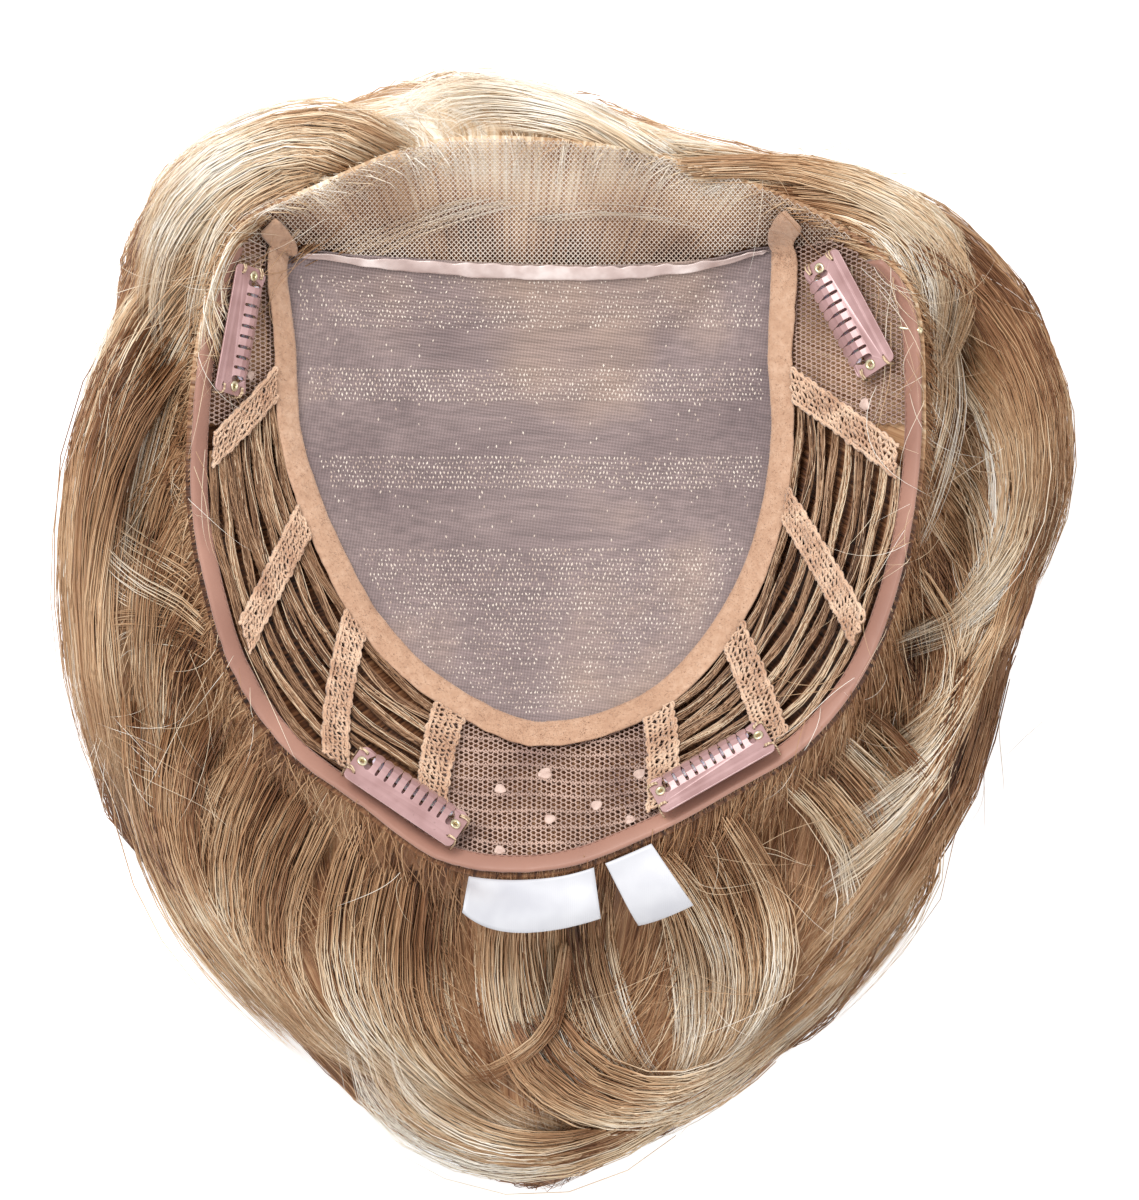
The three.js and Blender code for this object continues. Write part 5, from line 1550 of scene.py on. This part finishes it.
# Locks: strands, locks, lift above the mat, tone at the roots and at the tips, lock width, and
# the lines that the locks lie between, each as x and y in mm from its root to its tip
FANS = [
    ("front wave", 420, 9, 2.5, 0.8, 0.93, 6,
     [36, 89, 23, 97, 8, 105, -8, 110, -24, 113, -38, 109, -47, 99, -48, 89],
     [25, 90, 12, 99, -3, 104, -16, 106, -28, 105, -36, 99, -40, 93],
     [15, 91, 4, 97, -7, 99, -17, 99, -26, 95]),
    ("front swirl", 950, 15, 4.0, 0.6, 0.76, 7,
     [-36, 94, -54, 103, -72, 103, -89, 97, -103, 85, -111, 72, -115, 57],
     [-42, 90, -58, 98, -76, 97, -91, 89, -102, 77, -108, 63, -110, 48],
     [-54, 86, -69, 90, -83, 85, -95, 75, -103, 61, -105, 46, -103, 34],
     [-60, 77, -72, 78, -83, 73, -90, 64, -94, 53, -95, 40]),
    ("left tuft", 280, 6, 5.0, 0.52, 0.76, 4.5,
     [-75, 76, -82, 72, -87, 65, -91, 54, -92, 42],
     [-79, 71, -85, 67, -90, 58, -93, 48, -94, 37]),
    ("left front fall", 900, 14, 1.0, 0.6, 0.74, 8,
     [-80, 76, -93, 70, -106, 60, -117, 45, -124, 28, -127, 8, -130, -12],
     [-79, 70, -90, 62, -101, 49, -110, 33, -116, 16, -120, -3, -121, -21],
     [-78, 64, -87, 53, -97, 40, -103, 25, -107, 11, -111, -5, -113, -23]),
    # painted shade: a dark lock laid low under the others, for the shade between the locks
    ("left dark under", 420, 8, -1.5, 0.22, 0.4, 9,
     [-81, 66, -91, 60, -99, 50, -104, 40, -107, 28, -109, 16],
     [-85, 53, -93, 44, -98, 33, -100, 23, -102, 12, -103, 0]),
    ("left outer roll", 1150, 15, 2.0, 0.42, 0.6, 7,
     [-107, 53, -119, 36, -127, 15, -130, -8, -131, -32, -128, -56, -121, -77, -115, -93],
     [-102, 45, -114, 28, -121, 8, -125, -13, -125, -36, -123, -58, -117, -78, -113, -95],
     [-97, 34, -107, 19, -115, 0, -118, -20, -119, -40, -116, -60, -112, -78, -107, -95]),
    ("left inner fall", 900, 15, 0.5, 0.45, 0.64, 8,
     [-88, 30, -92, 26, -99, 19, -105, 7, -110, -8, -113, -25, -113, -42, -111, -60],
     [-90, 12, -94, 8, -101, 0, -107, -12, -109, -26, -110, -42, -108, -58, -105, -74],
     [-89, -12, -93, -16, -99, -23, -105, -33, -107, -48, -107, -64, -103, -80, -100, -94],
     [-84, -33, -88, -37, -95, -44, -101, -56, -104, -70, -103, -86, -98, -102, -92, -117]),
    ("left cross spray", 150, 7, 2.0, 0.64, 0.8, 8,
     [-90, -26, -99, -16, -110, -8, -118, 0, -123, 13],
     [-91, -37, -101, -29, -110, -24, -118, -16, -124, -5],
     [-86, -42, -97, -37, -107, -37, -115, -42, -121, -53]),
    ("left lower roll", 1000, 15, 1.5, 0.37, 0.62, 8,
     [-116, -50, -115, -72, -111, -93, -102, -113, -90, -129, -76, -143, -60, -155],
     [-101, -57, -105, -76, -103, -95, -95, -114, -83, -129, -69, -142, -56, -152],
     [-87, -57, -95, -74, -96, -93, -91, -111, -80, -127, -66, -139, -54, -147]),
    ("left back fall", 900, 14, 0.5, 0.34, 0.66, 9,
     [-75, -54, -78, -58, -87, -73, -92, -90, -91, -107, -85, -123, -73, -138, -58, -148],
     [-65, -65, -68, -69, -78, -85, -83, -102, -82, -119, -74, -134, -61, -146, -46, -154],
     [-53, -75, -56, -80, -65, -97, -70, -114, -68, -130, -59, -143, -45, -155, -30, -162]),
    ("nape left fall", 900, 14, 0.5, 0.3, 0.7, 9,
     [-49, -79, -51, -83, -59, -102, -61, -121, -56, -138, -45, -151, -30, -162, -15, -168],
     [-38, -86, -40, -91, -45, -110, -46, -129, -41, -144, -30, -156, -16, -166, 1, -171],
     [-27, -93, -28, -98, -31, -117, -30, -134, -25, -148, -15, -159, 0, -167, 17, -172]),
    ("nape middle fall", 800, 13, 0.0, 0.46, 0.86, 9,
     [-16, -95, -17, -101, -20, -118, -19, -135, -15, -148, -7, -158, 4, -164],
     [-2, -98, -3, -103, -4, -119, -2, -135, 3, -148, 12, -159, 23, -164],
     [14, -97, 15, -102, 15, -118, 19, -134, 24, -146, 30, -155, 36, -159]),
    ("nape curl", 620, 9, 4.0, 0.48, 0.8, 6.5,
     [36, -164, 23, -173, 5, -180, -15, -181, -32, -176, -45, -168, -53, -157, -55, -142],
     [25, -167, 15, -172, 1, -176, -13, -176, -28, -172, -40, -164, -47, -154, -50, -138],
     [12, -168, -1, -171, -15, -170, -26, -165, -36, -158, -41, -148]),
    ("bottom right roll", 620, 10, 3.0, 0.48, 0.78, 6.5,
     [-9, -135, -3, -148, 11, -159, 29, -163, 46, -158, 60, -146, 68, -132],
     [-15, -144, -7, -157, 8, -166, 25, -168, 42, -162, 55, -152],
     [1, -132, 12, -146, 25, -153, 41, -152, 56, -143, 67, -129]),
    ("bottom hem", 300, 7, 1.0, 0.5, 0.72, 6,
     [54, -152, 44, -160, 33, -166, 20, -172, 7, -178],
     [65, -142, 54, -149, 42, -156, 28, -164, 12, -170]),
    ("brown hook", 156, 3, 4.0, 0.52, 0.56, 3.5,
     [2, -117, 0, -129, -2, -138, -8, -145, -19, -151, -30, -152],
     [5, -119, 3, -131, 1, -140, -7, -148, -17, -154, -28, -155]),
    ("nape right fall", 850, 13, 0.5, 0.44, 0.8, 9,
     [25, -90, 26, -95, 30, -113, 33, -129, 34, -143, 31, -155, 24, -164],
     [37, -85, 38, -90, 45, -107, 48, -123, 47, -139, 40, -152, 29, -163],
     [46, -78, 48, -82, 58, -98, 63, -115, 60, -132, 50, -147, 37, -159]),
    ("right nape sweep", 900, 13, 1.5, 0.48, 0.74, 8,
     [53, -70, 57, -74, 72, -89, 78, -105, 76, -122, 65, -138, 50, -151, 36, -162],
     [62, -60, 66, -64, 83, -78, 91, -95, 89, -113, 78, -129, 64, -143, 48, -155],
     [74, -47, 78, -50, 95, -65, 103, -83, 101, -102, 90, -119, 76, -135, 60, -148]),
    ("right lower roll", 900, 12, 3.0, 0.3, 0.55, 7,
     [121, -37, 117, -58, 110, -80, 99, -101, 86, -119, 70, -136, 53, -151, 38, -163],
     [114, -40, 111, -60, 103, -80, 93, -99, 80, -117, 65, -132, 49, -146],
     [106, -42, 102, -61, 95, -80, 85, -97, 73, -113, 60, -127]),
    ("right mid sweep", 950, 13, 2.5, 0.46, 0.8, 7,
     [130, 5, 127, -13, 121, -30, 110, -45, 97, -56, 83, -64],
     [123, -16, 118, -34, 109, -50, 98, -64, 85, -74, 72, -82],
     [118, -32, 113, -50, 104, -67, 93, -81, 80, -92, 68, -100],
     [113, -50, 106, -69, 97, -85, 85, -99, 72, -109, 60, -116]),
    # painted shade: a dark lock laid low under the others, for the shade between the locks
    ("right dark under", 420, 8, -1.5, 0.22, 0.36, 9,
     [93, -16, 101, -26, 102, -40, 95, -53, 86, -64],
     [86, -37, 95, -48, 97, -62, 89, -76, 78, -85]),
    ("right upper sweep", 900, 12, 1.5, 0.58, 0.88, 7,
     [118, 53, 131, 34, 135, 13, 132, -8, 123, -25, 107, -37, 90, -43],
     [111, 45, 123, 28, 127, 9, 125, -9, 115, -25, 101, -36, 85, -40],
     [106, 34, 115, 19, 118, 1, 115, -15, 106, -28, 93, -37]),
    ("right side fall", 700, 12, -0.5, 0.44, 0.6, 9,
     [93, 25, 97, 21, 109, 11, 115, -5, 115, -24, 109, -40, 98, -53],
     [92, 4, 95, 0, 106, -12, 111, -26, 109, -42, 101, -57, 90, -69],
     [90, -17, 93, -21, 102, -33, 105, -48, 101, -62, 91, -76, 81, -86]),
    ("right outer roll", 950, 13, 2.5, 0.28, 0.52, 7,
     [91, 78, 109, 69, 123, 54, 133, 36, 137, 16, 135, -5, 127, -25, 119, -42],
     [93, 73, 108, 63, 120, 48, 129, 30, 132, 12, 129, -8, 121, -26],
     [95, 65, 108, 54, 118, 40, 124, 23, 125, 6, 122, -12]),
    ("right front fall", 650, 11, 0.5, 0.46, 0.58, 8,
     [54, 83, 73, 82, 91, 76, 106, 65, 118, 50, 126, 33, 130, 15],
     [65, 80, 82, 76, 95, 66, 105, 53, 111, 37, 112, 20]),
    ("right pale lock", 800, 8, 4.5, 0.6, 0.76, 6,
     [31, 90, 49, 91, 68, 90, 85, 85, 99, 77, 109, 65, 111, 50, 106, 37, 99, 26],
     [36, 85, 53, 86, 70, 85, 85, 80, 97, 71, 103, 58, 103, 45, 98, 32]),
    ("front right fringe", 420, 9, 1.0, 0.6, 0.74, 7,
     [1, 93, 17, 92, 33, 90, 49, 88, 65, 85],
     [12, 93, 25, 89, 41, 87, 57, 85, 73, 80]),
    ("under lace left", 220, 14, 0.8, 0.58, 0.74, 3,
     [-78, 63, -68, 74, -54, 82, -38, 87, -20, 91],
     [-68, 63, -54, 71, -38, 78, -20, 83, -1, 87],
     [-52, 63, -36, 69, -17, 75, 1, 80, 17, 83]),
    ("under lace right", 220, 14, 0.8, 0.56, 0.74, 3,
     [-20, 93, -4, 91, 15, 89, 33, 86, 52, 82, 65, 76],
     [-15, 82, 4, 83, 23, 81, 41, 77, 57, 72],
     [-4, 71, 15, 74, 33, 73, 49, 69, 60, 66]),
    ("left corner curls", 230, 9, 4.0, 0.56, 0.84, 5,
     [-60, 87, -72, 83, -82, 76, -90, 65, -94, 53, -95, 42],
     [-68, 82, -78, 76, -85, 68, -88, 57, -90, 46],
     [-72, 89, -85, 82, -93, 73, -97, 61, -99, 48, -98, 34]),
    ("left brow strands", 110, 7, 4.5, 0.72, 0.9, 5,
     [-81, 45, -87, 53, -88, 63, -83, 72, -74, 78, -62, 82],
     [-90, 32, -93, 45, -92, 58, -87, 69, -78, 77]),
    ("right corner curls", 300, 10, 3.5, 0.52, 0.8, 5,
     [60, 81, 73, 77, 85, 72, 93, 63, 96, 52, 95, 40],
     [65, 75, 77, 73, 86, 67, 91, 57, 94, 45, 92, 34],
     [57, 85, 73, 83, 87, 78, 98, 69, 103, 56, 102, 41, 98, 28]),
    ("right edge wisps", 120, 8, 3.5, 0.66, 0.88, 5,
     [101, 45, 102, 29, 99, 16, 95, 5, 93, -5],
     [107, 42, 109, 26, 106, 11, 101, -3, 95, -15]),
    ("nape pale sweep", 240, 7, 1.5, 0.56, 0.76, 5.5,
     [25, -91, 31, -101, 37, -113, 41, -126, 39, -140],
     [29, -91, 37, -101, 44, -113, 48, -126, 47, -142],
     [23, -95, 26, -106, 30, -119, 32, -132, 30, -146]),
    # painted shade: dark locks laid low, for the shade in the gaps between the locks
    ("nape dark gap", 240, 6, -0.2, 0.16, 0.3, 7,
     [-42, -93, -47, -106, -49, -119, -45, -132],
     [-33, -97, -36, -110, -36, -123, -30, -135],
     [12, -107, 14, -119, 17, -132, 23, -143]),
]
# the last value is the painted highlight that lightens each strand where it bends over
GUIDE_STEPS, STRAND_STEPS, CREST_HIGHLIGHT = 24, 8, 0.15
SHARE_OF_STRANDS = 0.385
OVER_CAP, CAP_CLEAR = 4.2, (2.4, 5.0)  # lift from which locks lie over the rim, and how far off it
LOCK_TONES, STRAND_TONES = 0.115, 0.06  # how far locks, and the strands of one, differ in tone


def smooth_line(points):
    """Even steps along a smooth curve through the points of a guide."""
    points = np.array(points, float).reshape(-1, 2)
    padded = np.concatenate([[2 * points[0] - points[1]], points, [2 * points[-1] - points[-2]]])
    dense = []
    for i in range(1, len(padded) - 2):
        t = np.linspace(0, 1, 12, endpoint=i == len(padded) - 3)[:, None]
        p0, p1, p2, p3 = padded[i - 1 : i + 3]
        dense.append(
            0.5 * (2 * p1 + (p2 - p0) * t + (2 * p0 - 5 * p1 + 4 * p2 - p3) * t**2
                   + (3 * p1 - p0 - 3 * p2 + p3) * t**3)
        )
    dense = np.concatenate(dense)
    run = np.concatenate([[0], np.cumsum(np.linalg.norm(np.diff(dense, axis=0), axis=1))])
    even = np.linspace(0, run[-1], GUIDE_STEPS)
    return np.stack([np.interp(even, run, dense[:, 0]), np.interp(even, run, dense[:, 1])], -1)


def lock_strands(strands, locks, lift, width, guides):
    """Strands shaped (strands, steps, 3), and the lock each one belongs to."""
    lines = np.stack([smooth_line(guide) for guide in guides])
    across = (np.arange(locks) + 0.5 + random.uniform(-0.3, 0.3, locks)) / locks
    reach_out = random.uniform(0.86, 1.0, locks)
    sway = random.normal(0, 1, (locks, 2))
    lock_lift = random.normal(0, 0.13 * width, locks)
    lock = random.integers(0, locks, strands)
    stray = np.where(random.random(strands) < 0.1, random.uniform(1.3, 2.6, strands), 1.0)
    radius = np.sqrt(random.random(strands)) * stray
    angle = random.uniform(0, 2 * math.pi, strands)
    start = random.uniform(0, 0.07, strands)
    end = reach_out[lock] * random.uniform(0.84, 1.0, strands)
    share = start[:, None] + (end - start)[:, None] * np.linspace(0, 1, STRAND_STEPS)[None, :]
    place = np.clip(across[lock], 0, 0.999) * (len(guides) - 1)
    first = place.astype(int)
    weight = (place - first)[:, None, None]
    step = share * (GUIDE_STEPS - 1)
    low = np.clip(step.astype(int), 0, GUIDE_STEPS - 2)
    part = (step - low)[..., None]

    def along(lines_used):
        rows = np.arange(strands)[:, None]
        return mix(lines_used[rows, low], lines_used[rows, low + 1], part)

    middle = mix(along(lines[first]), along(lines[first + 1]), weight)
    ahead = unit(np.gradient(middle, axis=1))
    side = np.stack([-ahead[..., 1], ahead[..., 0]], -1)
    gather = 0.35 + 0.65 * np.sin(math.pi * np.clip(0.1 + 0.8 * share, 0, 1))
    wave = sway[lock][:, 0:1] * np.sin(3.2 * share + 2 * sway[lock][:, 1:2]) * 1.1
    curl = random.normal(0, 0.35, (strands, 1)) * np.sin(
        share * random.uniform(3, 9, (strands, 1)) + random.uniform(0, 6, (strands, 1))
    )
    offset = (radius * np.cos(angle))[:, None] * gather * width * 0.42 + wave + curl
    plan = middle + side * offset[..., None]
    height = hair_height(plan[..., 0], plan[..., 1]) + lift + lock_lift[lock][:, None]
    height += (radius * np.sin(angle))[:, None] * gather * width * 0.2
    if lift > OVER_CAP:
        cap_height, _, _, there = below(plan[..., 0], plan[..., 1])
        over = cap_height + random.uniform(*CAP_CLEAR, (strands, 1))
        height = np.where(there, np.maximum(height, over), height)
    return np.dstack([plan, np.maximum(height, 1.5)]), lock


for name, strands, locks, lift, root_tone, tip_tone, width, *guides in FANS:
    strands = int(strands * SHARE_OF_STRANDS)
    paths, lock = lock_strands(strands, locks, lift, width, guides)
    lock_tone = random.normal(0, LOCK_TONES, locks)
    tones = root_tone + lock_tone[lock] + random.normal(0, STRAND_TONES, strands)
    hair_strands(
        "hair_" + name.replace(" ", "_"), paths, strand_radii(strands, STRAND_STEPS), tones,
        tip_tone - root_tone, CREST_HIGHLIGHT,
    )

# Flyaways: single curly hairs that have worked loose over the cap's edge and round the outline.
# Each area: middle in mm, how far it spreads, which way its hairs lean in degrees, how many
FLY_AREAS = [
    (-82, 56, 12, 215, 22), (-70, 72, 12, 200, 22), (-30, 96, 14, 175, 12), (88, 62, 10, 300, 26),
    (98, 38, 9, 265, 22), (98, -5, 10, 255, 16), (84, -50, 12, 240, 14), (-98, 10, 9, 262, 14),
    (-88, -40, 12, 275, 14), (44, -98, 10, 310, 20), (-46, -104, 14, 250, 10),
    (-120, 40, 9, 250, 18), (-118, -62, 12, 300, 26), (110, -60, 16, 245, 14),
    (60, -135, 20, 220, 14), (120, 20, 12, 270, 12), (10, 100, 30, 180, 12), (60, 92, 16, 345, 16),
]
FLY_STEPS, FLY_RADIUS = 12, 0.085
FLY_MIDDLE, FLY_REACH = np.array([2.5, -32.5]), np.array([139, 155])  # a hair past this is left out
random = np.random.default_rng(103)
flyaways, fly_tones = [], []
for middle_x, middle_y, spread, lean, count in FLY_AREAS:
    start = random.normal(0, 0.5, (count, 2)) * spread + [middle_x, middle_y]
    heading = np.radians(lean) + random.normal(0, 0.45, (count, 1))
    bend = random.normal(0, 0.9, (count, 1))
    step = np.linspace(0, 1, FLY_STEPS)[None, :]
    curve = heading + bend * step + 0.2 * np.sin(step * random.uniform(3, 7, (count, 1)) + bend * 3)
    stride = random.uniform(14, 46, (count, 1)) / FLY_STEPS
    x = start[:, 0:1] + np.cumsum(np.cos(curve) * stride, 1)
    y = start[:, 1:2] + np.cumsum(np.sin(curve) * stride, 1)
    cap_height, _, _, there = below(x, y)
    arch = np.sin(math.pi * np.linspace(0.1, 0.95, FLY_STEPS))[None, :]
    floor = np.maximum(hair_height(x, y) + 2.2, np.where(there, cap_height + 3.4, 0))
    floor = np.maximum.accumulate(floor, 1) * 0.3 + floor * 0.7
    flyaways.append(np.dstack([x, y, floor + arch * random.uniform(0.3, 2.5, (count, 1))]))
    fly_tones.append(random.normal(0.72, 0.15, count))
flyaways, fly_tones = np.concatenate(flyaways), np.concatenate(fly_tones)
within = (np.abs(flyaways[..., :2] - FLY_MIDDLE) < FLY_REACH).all((1, 2))
flyaways, fly_tones = flyaways[within], fly_tones[within]
fly_radii = strand_radii(len(flyaways), FLY_STEPS, FLY_RADIUS)
hair_strands("hair_flyaways", flyaways, fly_radii, np.maximum(fly_tones, 0.2), 0.05)
